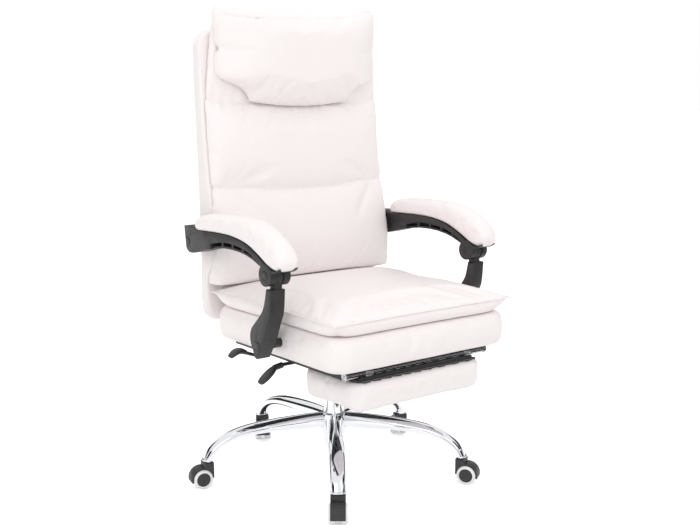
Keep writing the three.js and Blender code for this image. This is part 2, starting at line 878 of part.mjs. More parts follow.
function strutCylinder() {
  const tube = bar(strutRadius, at(strutX, strutFront, strutZ), at(strutX, strutMouth, strutZ));
  const hanger = (y) =>
    block(
      at(strutX - strutRadius, y, strutZ),
      at(strutX + strutRadius, y + strutFlange, underBoard),
    );
  const bore = bar(
    strutRodRadius + runningGap,
    at(strutX, strutMouth - strutRod - strutStroke - strutWall, strutZ),
    at(strutX, strutMouth + overrun, strutZ),
    smallSides,
  );
  return tube
    .add(hanger(strutFront))
    .add(hanger(strutMouth - strutFlange))
    .subtract(bore);
}

function strutRodBody() {
  const rod = bar(
    strutRodRadius,
    at(strutX, strutMouth - strutRod, strutZ),
    at(strutX, crankPin[0] - strutEyeRadius + strutWall, strutZ),
    smallSides,
  );
  const half = strutEyeWidth / 2;
  const eye = bar(
    strutEyeRadius,
    at(strutX - half, crankPin[0], strutZ),
    at(strutX + half, crankPin[0], strutZ),
  );
  const bore = bar(
    crankPinRadius + strutSlack,
    at(strutX - half - overrun, crankPin[0], strutZ),
    at(strutX + half + overrun, crankPin[0], strutZ),
  );
  return rod.add(eye).subtract(bore);
}
piece("strut_cylinder", strutCylinder(), blackSteel);
piece("strut_rod", strutRodBody(), zincSteel);
for (const [label, side] of [
  ["left", 1],
  ["right", -1],
]) {
  const seatPlate = piece(`seat_hinge_plate_${label}`, seatHingePlate(), blackSteel);
  seatPlate.scale.x = side;
  const backPlate = piece(`back_hinge_plate_${label}`, backHingePlate(side > 0), blackSteel);
  backPlate.scale.x = side;
}

// Footrest: a chromed frame of two runners and a crossbar, and a padded board that hangs
// from the crossbar by two clips, upside down while it is stored
const capLength = 5;
const barCapRadius = 9;
function footrestFrame() {
  const runner = (side) =>
    block(
      at(side * footrestFlank - runnerWidth / 2, barFront, barHeight - runnerHeight / 2),
      at(side * footrestFlank + runnerWidth / 2, runnerRear, barHeight + runnerHeight / 2),
    );
  return bar(barRadius, at(-barHalfLength, barFront, barHeight), at(barHalfLength, barFront, barHeight))
    .add(runner(1))
    .add(runner(-1));
}
piece("footrest_frame", footrestFrame(), chrome);
for (const [label, side] of [
  ["left", 1],
  ["right", -1],
]) {
  const inner = side * (barHalfLength + seatGap);
  const cap = bar(
    barCapRadius,
    at(inner, barFront, barHeight),
    at(inner + side * capLength, barFront, barHeight),
  );
  piece(`footrest_bar_cap_${label}`, cap, zincSteel);
}

const footInset = 16; // from a runner's middle to the pad's side
const footHalfWidth = footrestFlank - footInset;
const footFront = -316;
const footRear = -130;
const footBoardThickness = 8;
const footBoardTop = barHeight - barRadius - 2 * runningGap; // clear of the bar
const footPadTop = footBoardTop - footBoardThickness - seatGap;
const footPadThickness = 62.7;
const footLow = footPadTop - footPadThickness;
const footCorner = 30;
const footRoll = 12;
const footSideShares = [
  [0, 1],
  [0.1, 0.35],
  [0.3, 0],
  [0.75, 0],
  [1, 0.3],
];
piece(
  "footrest_pad",
  loft(
    footSideShares.map(([rise, draw]) =>
      roundedRing(
        footHalfWidth, footFront, footRear, footCorner, lerp(footLow, footPadTop, rise),
        draw * footRoll - cushionBulge * Math.sin(Math.PI * rise),
      ),
    ),
  ),
  upholstery,
);
const footBoardInset = 12;
const clipInset = 32; // from the pad's side to the middle of a clip
const clipX = footHalfWidth - clipInset;
const clipWidth = 18;
const clipWall = 2;
const tongueLength = 70;
const footBoard = block(
  at(-footHalfWidth + footBoardInset, footFront + footBoardInset, footPadTop + seatGap),
  at(footHalfWidth - footBoardInset, footRear - footBoardInset, footBoardTop),
);
// A clip: an eye round the crossbar with a tongue that lies on the board
function footClip(side) {
  const [low, high] = [side * clipX - clipWidth / 2, side * clipX + clipWidth / 2];
  const eyeRadius = barRadius + runningGap + clipWall;
  const eye = bar(eyeRadius, at(low, barFront, barHeight), at(high, barFront, barHeight));
  const tongue = block(
    at(low, barFront, footBoardTop - clipWall),
    at(high, barFront + tongueLength, footBoardTop),
  );
  const bore = bar(
    barRadius + runningGap,
    at(low - overrun, barFront, barHeight),
    at(high + overrun, barFront, barHeight),
  );
  return eye.add(tongue).subtract(bore);
}
const clipRoom = (side) =>
  bar(
    barRadius + runningGap + clipWall + seatGap,
    at(side * clipX - clipWidth / 2 - seatGap, barFront, barHeight),
    at(side * clipX + clipWidth / 2 + seatGap, barFront, barHeight),
  ).add(
    block(
      at(side * clipX - clipWidth / 2 - seatGap, barFront, footBoardTop - clipWall - seatGap),
      at(side * clipX + clipWidth / 2 + seatGap, barFront + tongueLength + seatGap, footBoardTop + overrun),
    ),
  );
piece("footrest_board", footBoard.subtract(clipRoom(1)).subtract(clipRoom(-1)), boardCloth);
piece("footrest_clip_left", footClip(1), zincSteel);
piece("footrest_clip_right", footClip(-1), zincSteel);

// Back: a cloth-covered board let into the front of a padded shell, with a quilted cushion and a
// head pillow sewn on in front
const shellThickness = 35;
const shellCorner = 42; // radius of the shell's upper corners
const shellFootCorner = 34;
const shellRoll = 11;
const shellCornerSteps = 5;
const backBoardInset = 36; // from the shell's side to the board's
const backBoardHalfWidth = backHalfWidth - backBoardInset;
const backBoardLow = 424;
const backBoardTop = 992;
// A leaning slab in the back's plane: outline in [x, z], from its front to its rear
function leaningSlab(outline, front, thickness, bevel) {
  const shape = new THREE.Shape(outline.map(([x, z]) => new THREE.Vector2(x, z)));
  const slab = new THREE.ExtrudeGeometry(shape, {
    depth: thickness - 2 * bevel,
    bevelEnabled: bevel > 0,
    bevelThickness: bevel,
    bevelSize: bevel,
    bevelOffset: -bevel,
    bevelSegments: 2,
  });
  slab.translate(0, 0, bevel).rotateX(Math.PI / 2).translate(0, front + thickness, 0);
  const lean = new THREE.Matrix4().makeShear(0, 0, 0, 0, 0, backLeanShare);
  const foot = at(0, 0, backBottom);
  return solid(slab.translate(0, 0, -foot.z).applyMatrix4(lean).translate(0, 0, foot.z));
}
function roundedOutline(halfWidth, low, high, lowRadius, highRadius) {
  const corners = [
    [halfWidth - highRadius, high - highRadius, highRadius, 0],
    [highRadius - halfWidth, high - highRadius, highRadius, Math.PI / 2],
    [lowRadius - halfWidth, low + lowRadius, lowRadius, Math.PI],
    [halfWidth - lowRadius, low + lowRadius, lowRadius, (3 * Math.PI) / 2],
  ];
  return corners.flatMap(([x, z, radius, start]) =>
    Array.from({ length: shellCornerSteps + 1 }, (_, i) => {
      const turn = start + (Math.PI * i) / (2 * shellCornerSteps);
      return [x + Math.cos(turn) * radius, z + Math.sin(turn) * radius];
    }),
  );
}
const square = (halfWidth, low, high) => [
  [-halfWidth, low],
  [halfWidth, low],
  [halfWidth, high],
  [-halfWidth, high],
];
const backBoard = leaningSlab(
  square(backBoardHalfWidth, backBoardLow, backBoardTop), shellFrontY + seatGap, backBoardThickness, 0,
);
piece("back_board", backBoard, boardCloth);

// Room for the hinge plates: a slit through the shell's foot and a pocket above it
const slitInner = plateX - runningGap - hingePlate - hingeHeadLength - 2 * runningGap;
const slitOuter = plateX + runningGap + hingePlate + runningGap;
const plateRoom = (side) => {
  const rear = axisY + crankRadius / 2;
  const foot = block(
    at(slitInner, shellFrontY - overrun, backBottom - overrun),
    at(slitOuter, rear, axisZ + 2 * hingePlate),
  );
  const pocket = block(
    at(slitInner, shellFrontY - overrun, axisZ),
    at(slitOuter, axisY + hingeEye + runningGap, backPlateTop + runningGap),
  );
  const room = foot.add(pocket);
  return side > 0 ? room : room.mirror([1, 0, 0]);
};
const rearSeatRadius = 7;
const rearSeatDepth = 3;
const rearBoltSeat = (side) =>
  bar(
    rearSeatRadius + runningGap,
    at(side * (backHalfWidth - rearSeatDepth), ...rearPivot),
    at(side * (backHalfWidth + rearSeatRadius), ...rearPivot),
  );
piece(
  "back_shell",
  leaningSlab(
    roundedOutline(backHalfWidth, backBottom, backTop, shellFootCorner, shellCorner),
    shellFrontY, shellThickness, shellRoll,
  )
    .subtract(
      leaningSlab(
        square(backBoardHalfWidth + seatGap, backBoardLow - seatGap, backBoardTop + seatGap),
        shellFrontY - overrun, backBoardThickness + overrun + 2 * seatGap, 0,
      ),
    )
    .subtract(plateRoom(1))
    .subtract(plateRoom(-1))
    .subtract(rearBoltSeat(1))
    .subtract(rearBoltSeat(-1)),
  upholstery,
);

// Back cushion: its side edges in the side and front views, by share of its height: share of
// its depth, counted forwards from the shell's foot, and share of its half width
const cushionLow = 466;
const cushionHigh = 1094;
const cushionDepth = 47; // from the shell's front to the cushion's side edge at its foot
const cushionSpread = 2; // how far the back cushion stands past the shell at each side
const cushionHalfWidth = backHalfWidth + cushionSpread;
const cushionEdgeShares = [
  [0, 1, 0.985],
  [0.1, 0.86, 1],
  [0.21, 0.72, 0.995],
  [0.36, 0.4, 0.985],
  [0.5, 0.13, 0.975],
  [0.67, -0.02, 0.965],
  [0.82, 0, 0.92],
  [0.95, -0.02, 0.885],
  [1, -0.06, 0.885],
];
const seamShares = [0, 0.357, 0.673, 1]; // the seams that part the cushion's three bulges
const bulges = [36, 32, 10];
const seamDepthShare = 0.2; // how much of a bulge is left at a seam
const seamSag = 18; // how far a seam hangs lower in the middle
const backCushionInset = 6;
const backColumns = 10;
const swellPower = 2.6; // how flat a bulge is in its middle
const swellRise = 0.55; // how steeply it rises from a seam
const panelOf = (place) => (place < seamShares[1] ? 0 : place < seamShares[2] ? 1 : 2);
function cushionEdge(v) {
  const place = (v + 1) / 2;
  const depth = along(cushionEdgeShares, place) * cushionDepth;
  const half = along(cushionEdgeShares, place, 2) * cushionHalfWidth;
  return { place, depth, half, height: lerp(cushionLow, cushionHigh, place) };
}
// Rows are placed so that one of them runs along each seam
const rowsOfPanel = [8, 7, 5];
const rowShares = rowsOfPanel.flatMap((rows, k) =>
  Array.from({ length: rows }, (_, i) => lerp(seamShares[k], seamShares[k + 1], i / rows)),
);
rowShares.push(1);
const rowPlace = (v) => 2 * rowShares[Math.round(((v + 1) / 2) * (rowShares.length - 1))] - 1;
function backSheet(u, v) {
  const edge = cushionEdge(rowPlace(v));
  const k = panelOf(edge.place);
  const within = (edge.place - seamShares[k]) / (seamShares[k + 1] - seamShares[k]);
  const swell = Math.max(1 - Math.abs(2 * within - 1) ** swellPower, 0) ** swellRise;
  const bulge = bulges[k] * lerp(seamDepthShare, 1, swell) * Math.sqrt(1 - u ** 4);
  const sag = seamSag * (1 - u * u) * Math.sin(Math.PI * edge.place);
  return at(u * edge.half, shellFrontY - edge.depth - bulge, edge.height - sag);
}
function backPanelEdge(u, v, inset) {
  const edge = cushionEdge(rowPlace(v));
  const height = THREE.MathUtils.clamp(edge.height, cushionLow + inset, cushionHigh - inset);
  const rear = boardFrontY(height) - seatGap;
  return at(u * (edge.half - inset), rear, height);
}
const backCushion = padded(backColumns, rowShares.length - 1, backSheet, [
  (u, v) => backPanelEdge(u, v, backCushionInset),
]);
piece("back_cushion", backCushion.subtract(seatPad.translate([0, 0, 2 * seatGap])), upholstery);

// Head pillow: a flat rear face and a crown that dies away towards its sewn edge
const pillowLow = 893;
const pillowHigh = 1100;
const pillowInset = 28; // from the shell's side to the pillow's
const pillowHalf = backHalfWidth - pillowInset;
// The pillow's half width at shares of its height: it tapers to its foot
const pillowHalfShares = [
  [0, 0.57],
  [0.06, 0.6],
  [0.12, 0.68],
  [0.19, 0.78],
  [0.26, 0.9],
  [0.33, 0.97],
  [0.42, 1],
  [0.9, 1],
  [1, 0.95],
];
const pillowBulge = 46;
const pillowRear = 139.9; // plane of the pillow's flat rear face
const pillowEdge = 8; // thickness of the pillow's edge
const pillowDraw = 8; // how far the pillow's sides draw in between its corners
const pillowRows = 12;
const pillowRearShares = [0.97, 0.96]; // width and height of the rear face in the whole
const pillowDip = 9; // how far the pillow's upper edge hangs between its corners
const pillowHang = 12; // and its lower edge
const pillowSheet = (u, v, forward) => {
  const place = (v + 1) / 2;
  const dip = lerp(pillowHang, pillowDip, place) * (1 - u * u);
  const side = u * (along(pillowHalfShares, place) * pillowHalf - pillowDraw * (1 - v * v));
  return at(side, pillowRear - forward, lerp(pillowLow, pillowHigh, place) - dip);
};
const pillowCrown = (u, v) => pillowEdge + pillowBulge * Math.sqrt((1 - u ** 4) * (1 - v ** 4));
piece(
  "headrest_pillow",
  padded(backColumns, pillowRows, (u, v) => pillowSheet(u, v, pillowCrown(u, v)), [
    (u, v) => pillowSheet(pillowRearShares[0] * u, pillowRearShares[1] * v, 0),
  ]),
  upholstery,
);

// Arms: each a moulded frame on the back, a padded rest, and a post on the seat. The frame's
// outline is in shares of the arm's length from its rear and of its rise above its foot.
const frameTopShares = [
  [0, 0.9],
  [0.015, 0.93],
  [0.14, 0.945],
  [0.165, 0.91],
  [0.2, 0.89],
  [0.27, 0.905],
  [0.4, 0.92],
  [0.541, 0.905],
  [0.678, 0.81],
  [0.786, 0.61],
  [0.86, 0.44],
  [0.905, 0.375],
  [0.94, 0.38],
  [0.965, 0.44],
];
const frameFootShares = [
  [0.955, 0.39],
  [0.925, 0.33],
  [0.89, 0.31],
  [0.84, 0.32],
  [0.78, 0.4],
  [0.704, 0.52],
  [0.6, 0.6],
  [0.466, 0.615],
  [0.325, 0.54],
  [0.206, 0.42],
  [0.11, 0.335],
  [0.05, 0.34],
  [0.02, 0.43],
];
const windowTopShares = [
  [0.34, 0.66],
  [0.4, 0.715],
  [0.475, 0.76],
  [0.605, 0.735],
  [0.718, 0.63],
  [0.812, 0.44],
];
const onArm = ([run, rise]) => [armRearY - run * armLength, armFoot + rise * armRise];
const frameTopSteps = 26;
const frameFootSteps = 22;
const railDepth = 4.5; // height of the thin rail below the windows
const railInset = 7; // how far the rail and its ribs stand back from the frame's faces
const windowCount = 5;
const ribWidth = 4;
const windowSteps = 3;
const windowStartShare = 0.06; // of the room of one window, before it begins
const bandSteps = 12;
const knuckleRadius = 23;
const headWidth = 17; // the post's head, between the frame's two cheeks
const rearTaper = 17; // how far the outer face comes in at the frame's rear
const taperStart = 60;
const pinRadius = 5;
const boltHeadRadius = 9;
const boltHeadDepth = 4;
const armOuter = armInner + armThickness;
const armMiddle = armInner + armThickness / 2;

const frameTop = smooth(frameTopShares.map(onArm), frameTopSteps);
const frameFoot = smooth(frameFootShares.map(onArm), frameFootSteps);
const windowTop = new THREE.SplineCurve(
  windowTopShares.map((share) => new THREE.Vector2(...onArm(share))),
);
// Height of the frame's lower edge at a place along it
const footByRun = [...frameFoot].sort((a, b) => a[0] - b[0]);
const frameFootZ = (y) => along(footByRun, y);

function windowCut(k) {
  const first = (k + windowStartShare) / windowCount;
  const last = (k + 1) / windowCount - ribWidth / windowTop.getLength();
  const upper = Array.from({ length: windowSteps + 1 }, (_, i) => {
    const p = windowTop.getPointAt(lerp(first, last, i / windowSteps));
    return [p.x, p.y];
  });
  const lower = upper.map(([y, z]) => [y, Math.min(frameFootZ(y) + railDepth, z - ribWidth / 4)]).reverse();
  return sidePlate([...upper, ...lower], armInner - overrun, armOuter + overrun);
}

// The band under the windows' upper line stands back from both faces
function bandCut() {
  const upper = windowTop.getPoints(bandSteps).map((p) => [p.x, p.y]);
  const lower = upper.map(([y]) => [y, frameFootZ(y) - overrun]).reverse();
  const band = [...upper, ...lower];
  return sidePlate(band, armOuter - railInset, armOuter + overrun).add(
    sidePlate(band, armInner - overrun, armInner + railInset),
  );
}

function armFrame() {
  const [kneeY, kneeZ] = knucklePivot;
  const knuckle = bar(knuckleRadius, at(armInner, kneeY, kneeZ), at(armOuter, kneeY, kneeZ), knuckleSides);
  const between = bar(
    knuckleRadius + runningGap,
    at(armMiddle - headWidth / 2 - runningGap, kneeY, kneeZ),
    at(armMiddle + headWidth / 2 + runningGap, kneeY, kneeZ),
    knuckleSides,
  );
  const taper = solid(
    new THREE.ExtrudeGeometry(
      new THREE.Shape([
        new THREE.Vector2(armOuter, taperStart),
        new THREE.Vector2(armOuter + overrun, taperStart),
        new THREE.Vector2(armOuter + overrun, armRearY + overrun),
        new THREE.Vector2(armOuter - rearTaper, armRearY + overrun),
      ]),
      { depth: 2 * armRise, bevelEnabled: false },
    ).translate(0, 0, armFoot - armRise / 2),
  );
  const headSeat = (pivot, outer) =>
    bar(
      boltHeadRadius + runningGap,
      at(outer - boltHeadDepth, ...pivot),
      at(outer + overrun + rearTaper, ...pivot),
    );
  const bore = (pivot) =>
    bar(
      pinRadius + seatGap,
      at(armInner - overrun, ...pivot),
      at(armOuter + overrun, ...pivot),
      smallSides,
    );
  let frame = sidePlate([...frameTop, ...frameFoot], armInner, armOuter).subtract(bandCut());
  for (let k = 0; k < windowCount; k++) frame = frame.subtract(windowCut(k));
  return frame
    .add(knuckle)
    .subtract(between)
    .subtract(taper)
    .subtract(bore(rearPivot))
    .subtract(bore(knucklePivot))
    .subtract(headSeat(rearPivot, rearBoltOuter))
    .subtract(headSeat(knucklePivot, armOuter));
}
const rearBoltOuter =
  armOuter - (rearTaper * (rearPivot[0] - taperStart)) / (armRearY + overrun - taperStart);

// Arm pad: rings along the frame's upper edge, each from a low to a high point in the same
// shares as the frame, with its half width as a share of the pad's
const padHalf = 30;
const padOverhang = 5; // how far the pad stands out past the frame's inner face
const padMiddleX = armInner - padOverhang + padHalf;
const padRiseShare = 0.75; // how boxy a pad's section is in its height and in its width
const padSideShare = 0.6;
const padSectionPoints = 14;
const padRingShares = [
  [0.179, 0.9, 0.186, 0.98, 0.5],
  [0.188, 0.89, 0.192, 1.13, 0.84],
  [0.225, 0.89, 0.215, 1.21, 0.95],
  [0.3, 0.9, 0.29, 1.26, 1],
  [0.433, 0.91, 0.433, 1.29, 1],
  [0.55, 0.89, 0.57, 1.3, 1],
  [0.68, 0.79, 0.7, 1.27, 1],
  [0.786, 0.6, 0.81, 1.17, 1],
  [0.868, 0.42, 0.9, 0.99, 0.96],
  [0.92, 0.36, 0.95, 0.82, 0.9],
  [0.95, 0.37, 0.975, 0.68, 0.78],
  [0.975, 0.43, 0.988, 0.57, 0.5],
];
const rounder = (value, power) => Math.sign(value) * Math.abs(value) ** power;
function armPad(frame) {
  const rings = padRingShares.map(([lowRun, lowRise, highRun, highRise, wide]) => {
    const [lowY, lowZ] = onArm([lowRun, lowRise]);
    const [highY, highZ] = onArm([highRun, highRise]);
    return Array.from({ length: padSectionPoints }, (_, i) => {
      const turn = (2 * Math.PI * (i + 0.5)) / padSectionPoints;
      const rise = (1 + rounder(Math.sin(turn), padRiseShare)) / 2;
      const side = rounder(Math.cos(turn), padSideShare) * padHalf * wide;
      return at(padMiddleX + side, lerp(lowY, highY, rise), lerp(lowZ, highZ, rise));
    });
  });
  const knuckleRoom = bar(
    knuckleRadius + seatGap,
    at(armInner - padHalf, ...knucklePivot),
    at(armOuter + padHalf, ...knucklePivot),
    knuckleSides,
  );
  return loft(rings).subtract(frame.translate([0, 0, seatGap])).subtract(frame).subtract(knuckleRoom);
}

// Post: a wide moulded leg with a narrow head that stands between the frame's cheeks. Its
// outline is in shares of the run from the post's pivot to the knuckle and of the post's width.
const postWidth = 38;
const postShift = 3; // how far the post stands outwards of the knuckle's middle
const postInner = armMiddle + postShift - postWidth / 2;
const postOuter = armMiddle + postShift + postWidth / 2;
const postBevel = 3;
const postDepth = 90;
const postFrontShares = [
  [0.813, -0.589],
  [0.639, -0.567],
  [0.465, -0.533],
  [0.31, -0.4],
  [0.148, -0.289],
  [0.006, -0.156],
  [-0.097, -0.044],
  [-0.194, 0.067],
];
const postRearShares = [
  [-0.181, 0.144],
  [-0.065, 0.233],
  [0.019, 0.311],
  [0.123, 0.333],
  [0.232, 0.267],
  [0.355, 0.044],
  [0.484, -0.167],
  [0.613, -0.289],
  [0.813, -0.367],
];
const postRise = knucklePivot[1] - postPivot[1];
const onPost = ([rise, run]) => [postPivot[0] + run * postDepth, postPivot[1] + rise * postRise];
const neckShares = [0.74, -0.45]; // middle of the neck's foot, as on the outline
const neckDepth = 19;
const postFrontSteps = 10;
const postRearSteps = 14;

function armPost() {
  const [kneeY, kneeZ] = knucklePivot;
  const outline = [
    ...smooth(postFrontShares.map(onPost), postFrontSteps),
    ...smooth(postRearShares.map(onPost), postRearSteps),
  ];
  const body = sidePlate(outline, postInner, postOuter, postBevel).subtract(
    bar(
      knuckleRadius + linkPlay,
      at(postInner - overrun, kneeY, kneeZ),
      at(postOuter + overrun, kneeY, kneeZ),
      knuckleSides,
    ),
  );
  const [low, high] = [armMiddle - headWidth / 2, armMiddle + headWidth / 2];
  const head = bar(knuckleRadius - linkPlay, at(low, kneeY, kneeZ), at(high, kneeY, kneeZ), knuckleSides);
  const [neckY, neckZ] = onPost(neckShares);
  const neck = block(
    at(low, neckY - neckDepth / 2, neckZ - neckDepth / 2),
    at(high, neckY + neckDepth / 2, kneeZ),
  );
  const pinBore = bar(
    pinRadius + linkPlay,
    at(low - overrun, kneeY, kneeZ),
    at(high + overrun, kneeY, kneeZ),
  );
  const boltBore = bar(
    postShankRadius + seatGap,
    at(postInner - overrun, ...postPivot),
    at(postOuter + overrun, ...postPivot),
  );
  const headSeat = bar(
    boltHeadRadius + runningGap,
    at(postOuter - boltHeadDepth, ...postPivot),
    at(postOuter + overrun, ...postPivot),
  );
  return body.add(head).add(neck).subtract(pinBore).subtract(boltBore).subtract(headSeat);
}

// Bolts of the linkage, turned about +X: a boss against the seat or back, a shank and a head
const postShankRadius = 6;
const headStand = 1.5; // how far a bolt's head stands out of its seat
const postBolt = turnedAcross(
  [
    [0, seatHalfWidth - postSeatInset + seatGap],
    [postSeatRadius, seatHalfWidth - postSeatInset + seatGap],
    [postSeatRadius, postInner - runningGap],
    [postShankRadius, postInner - runningGap],
    [postShankRadius, postOuter - boltHeadDepth + seatGap],
    [boltHeadRadius, postOuter - boltHeadDepth + seatGap],
    [boltHeadRadius, postOuter],
    [boltHeadRadius - headStand, postOuter + headStand],
    [0, postOuter + headStand],
  ],
  postPivot,
);
const rearBolt = turnedAcross(
  [
    [0, backHalfWidth - rearSeatDepth + seatGap],
    [rearSeatRadius, backHalfWidth - rearSeatDepth + seatGap],
    [rearSeatRadius, armInner - runningGap],
    [pinRadius, armInner - runningGap],
    [pinRadius, rearBoltOuter - boltHeadDepth + seatGap],
    [boltHeadRadius, rearBoltOuter - boltHeadDepth + seatGap],
    [boltHeadRadius, rearBoltOuter],
    [boltHeadRadius - headStand, rearBoltOuter + headStand],
    [0, rearBoltOuter + headStand],
  ],
  rearPivot,
);
const knucklePin = turnedAcross(
  [
    [0, armInner],
    [pinRadius, armInner],
    [pinRadius, armOuter - boltHeadDepth + seatGap],
    [boltHeadRadius, armOuter - boltHeadDepth + seatGap],
    [boltHeadRadius, armOuter],
    [boltHeadRadius - headStand, armOuter + headStand],
    [0, armOuter + headStand],
  ],
  knucklePivot,
);
const frameSolid = armFrame();
const padSolid = armPad(frameSolid);
const postSolid = armPost();
for (const [label, side] of [
  ["left", 1],
  ["right", -1],
]) {
  const arm = new THREE.Group();
  arm.scale.x = side;
  chair.add(arm);
  piece(`arm_frame_${label}`, frameSolid, blackPlastic, arm);
  piece(`arm_pad_${label}`, padSolid, upholstery, arm);
  piece(`arm_post_${label}`, postSolid, blackPlastic, arm);
  piece(`arm_post_bolt_${label}`, postBolt, blackSteel, arm);
  piece(`arm_rear_bolt_${label}`, rearBolt, blackSteel, arm);
  piece(`arm_knuckle_pin_${label}`, knucklePin, blackSteel, arm);
}

export default chair;
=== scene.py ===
"""A reclining office chair with a footrest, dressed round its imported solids. Metres, +Z up, facing -Y."""

import json

import bmesh
import bpy
import numpy as np
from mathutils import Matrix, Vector
from mathutils.kdtree import KDTree

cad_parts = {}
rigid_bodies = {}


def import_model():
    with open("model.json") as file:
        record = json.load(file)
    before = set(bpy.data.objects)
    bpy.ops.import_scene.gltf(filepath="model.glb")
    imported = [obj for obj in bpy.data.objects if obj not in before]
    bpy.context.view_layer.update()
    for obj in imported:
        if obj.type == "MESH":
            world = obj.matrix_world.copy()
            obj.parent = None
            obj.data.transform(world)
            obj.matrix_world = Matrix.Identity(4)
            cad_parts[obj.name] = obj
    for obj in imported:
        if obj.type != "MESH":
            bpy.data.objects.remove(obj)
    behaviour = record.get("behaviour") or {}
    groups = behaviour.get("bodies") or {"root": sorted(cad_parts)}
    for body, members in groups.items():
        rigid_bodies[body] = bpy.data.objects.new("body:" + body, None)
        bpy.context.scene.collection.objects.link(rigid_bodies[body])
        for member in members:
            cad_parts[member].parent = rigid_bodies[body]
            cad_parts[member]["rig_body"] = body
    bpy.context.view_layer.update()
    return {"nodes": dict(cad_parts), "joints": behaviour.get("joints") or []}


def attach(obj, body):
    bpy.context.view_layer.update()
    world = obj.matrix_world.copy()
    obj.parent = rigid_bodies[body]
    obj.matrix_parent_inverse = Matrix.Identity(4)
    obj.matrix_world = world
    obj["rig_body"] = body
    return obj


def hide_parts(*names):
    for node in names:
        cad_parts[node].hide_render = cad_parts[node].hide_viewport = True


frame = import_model()

# Star base
# Five arched legs are pressed from steel tube, tall and narrow at the hub and flatter towards
# the foot, welded to a turned hub and chromed as one piece. A pressed ring closes each foot.


def skin(points, ring=False):
    """A closed surface over a grid of points (rows, columns, 3): neighbours are joined in quads, and
    the last column meets the first. A fan of triangles closes the first and the last row to their
    middles; in a ring the last row meets the first instead."""
    if ring:
        points = np.concatenate((points, points[:1]))
    rows, columns = points.shape[:2]
    index = np.arange(rows * columns).reshape(rows, columns)
    index = np.column_stack((index, index[:, 0]))
    faces = np.stack((index[:-1, :-1], index[:-1, 1:], index[1:, 1:], index[1:, :-1]), -1)
    faces = faces.reshape(-1, 4).tolist()
    spots = points.reshape(-1, 3)
    if not ring:
        spots = np.concatenate((spots, [points[0].mean(0), points[-1].mean(0)]))
        first, last = len(spots) - 2, len(spots) - 1
        faces += [[first, b, a] for a, b in zip(index[0, :-1].tolist(), index[0, 1:].tolist())]
        faces += [[last, a, b] for a, b in zip(index[-1, :-1].tolist(), index[-1, 1:].tolist())]
    return spots, faces


def added(name, data):
    """A new object of a mesh, a lamp or a camera, in the scene."""
    made = bpy.data.objects.new(name, data)
    bpy.context.scene.collection.objects.link(made)
    return made


def place(name, *shells, material, body, replaced=(), slot):
    """Puts one or more shells of points and faces into a smooth mesh that rides on a body."""
    spots, faces, start = [], [], 0
    for points, quads in shells:
        spots.append(points)
        faces += [[corner + start for corner in face] for face in quads]
        start += len(points)
    mesh = bpy.data.meshes.new(name)
    mesh.from_pydata(np.concatenate(spots).tolist(), [], faces)
    mesh.materials.append(material)
    mesh.shade_smooth()
    piece = added(name, mesh)
    outward(piece)
    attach(piece, body)
    if replaced:
        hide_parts(*replaced)
    return piece


def outward(piece):
    """Turns every face of a closed piece outwards."""
    shape = bmesh.new()
    shape.from_mesh(piece.data)
    bmesh.ops.recalc_face_normals(shape, faces=shape.faces)
    shape.to_mesh(piece.data)
    shape.free()


def smoothly(table, at):
    """A smooth run through a table of rows, first column the place: Catmull-Rom in each column."""
    table = np.asarray(table, float)
    k = np.clip(np.searchsorted(table[:, 0], at) - 1, 0, len(table) - 2)
    low, high = np.maximum(k - 1, 0), np.minimum(k + 2, len(table) - 1)
    share = ((at - table[k, 0]) / (table[k + 1, 0] - table[k, 0]))[:, None]
    before, start, end, after = table[low], table[k], table[k + 1], table[high]
    bend = 2 * before - 5 * start + 4 * end - after
    twist = 3 * start - before - 3 * end + after
    return start + 0.5 * share * (end - before + share * (bend + share * twist))


def through(rows, count):
    """A smooth run of count steps through rows that stand at even distances."""
    numbered = [(k, *row) for k, row in enumerate(rows)]
    return smoothly(numbered, np.linspace(0, len(rows) - 1, count))[:, 1:]


def circle(count):
    """That many angles, once round."""
    return np.linspace(0, 2 * np.pi, count, endpoint=False)


def unit(rows):
    """Rows brought to a length of 1."""
    return rows / np.linalg.norm(rows, axis=1)[:, None]


def squared(wave, power):
    """A wave made squarer: its size to a power below 1, with its sign kept."""
    return np.sign(wave) * np.abs(wave) ** power


def turned(profile, middle=(0, 0, 0), axis=(0, 0, 1), sides=64):
    """A body of revolution: each pair of radius and place along the axis is carried round it."""
    axis = np.array(axis, float) / np.linalg.norm(axis)
    across = np.cross(axis, (0, 0, 1) if abs(axis[2]) < 0.9 else (1, 0, 0))
    across /= np.linalg.norm(across)
    turn = circle(sides)[None, :, None]
    radius, along = np.asarray(profile, float).T[:, :, None, None]
    round_it = np.cos(turn) * across + np.sin(turn) * np.cross(axis, across)
    return skin(np.array(middle) + along * axis + radius * round_it)


def rounded(profile, radius, steps=4):
    """A profile of [radius, place] corners with each inner corner cut to a small arc."""
    profile = np.asarray(profile, float)
    out = [profile[0]]
    for before, corner, after in zip(profile, profile[1:], profile[2:]):
        back, on = before - corner, after - corner
        reach = min(radius, np.linalg.norm(back) / 2, np.linalg.norm(on) / 2)
        start, end = corner + back / np.linalg.norm(back) * reach, corner + on / np.linalg.norm(on) * reach
        t = np.linspace(0, 1, steps + 1)[:, None]
        out.extend((1 - t) ** 2 * start + 2 * t * (1 - t) * corner + t**2 * end)
    out.append(profile[-1])
    return np.array(out)


def paint(name, color, roughness, metallic=0.0):
    """A material whose uniform values sit on the shader's own sockets."""
    made = bpy.data.materials.new(name)
    made.use_nodes = True
    shader = made.node_tree.nodes["Principled BSDF"]
    shader.inputs["Base Color"].default_value = (*color, 1)
    shader.inputs["Roughness"].default_value = roughness
    shader.inputs["Metallic"].default_value = metallic
    return made


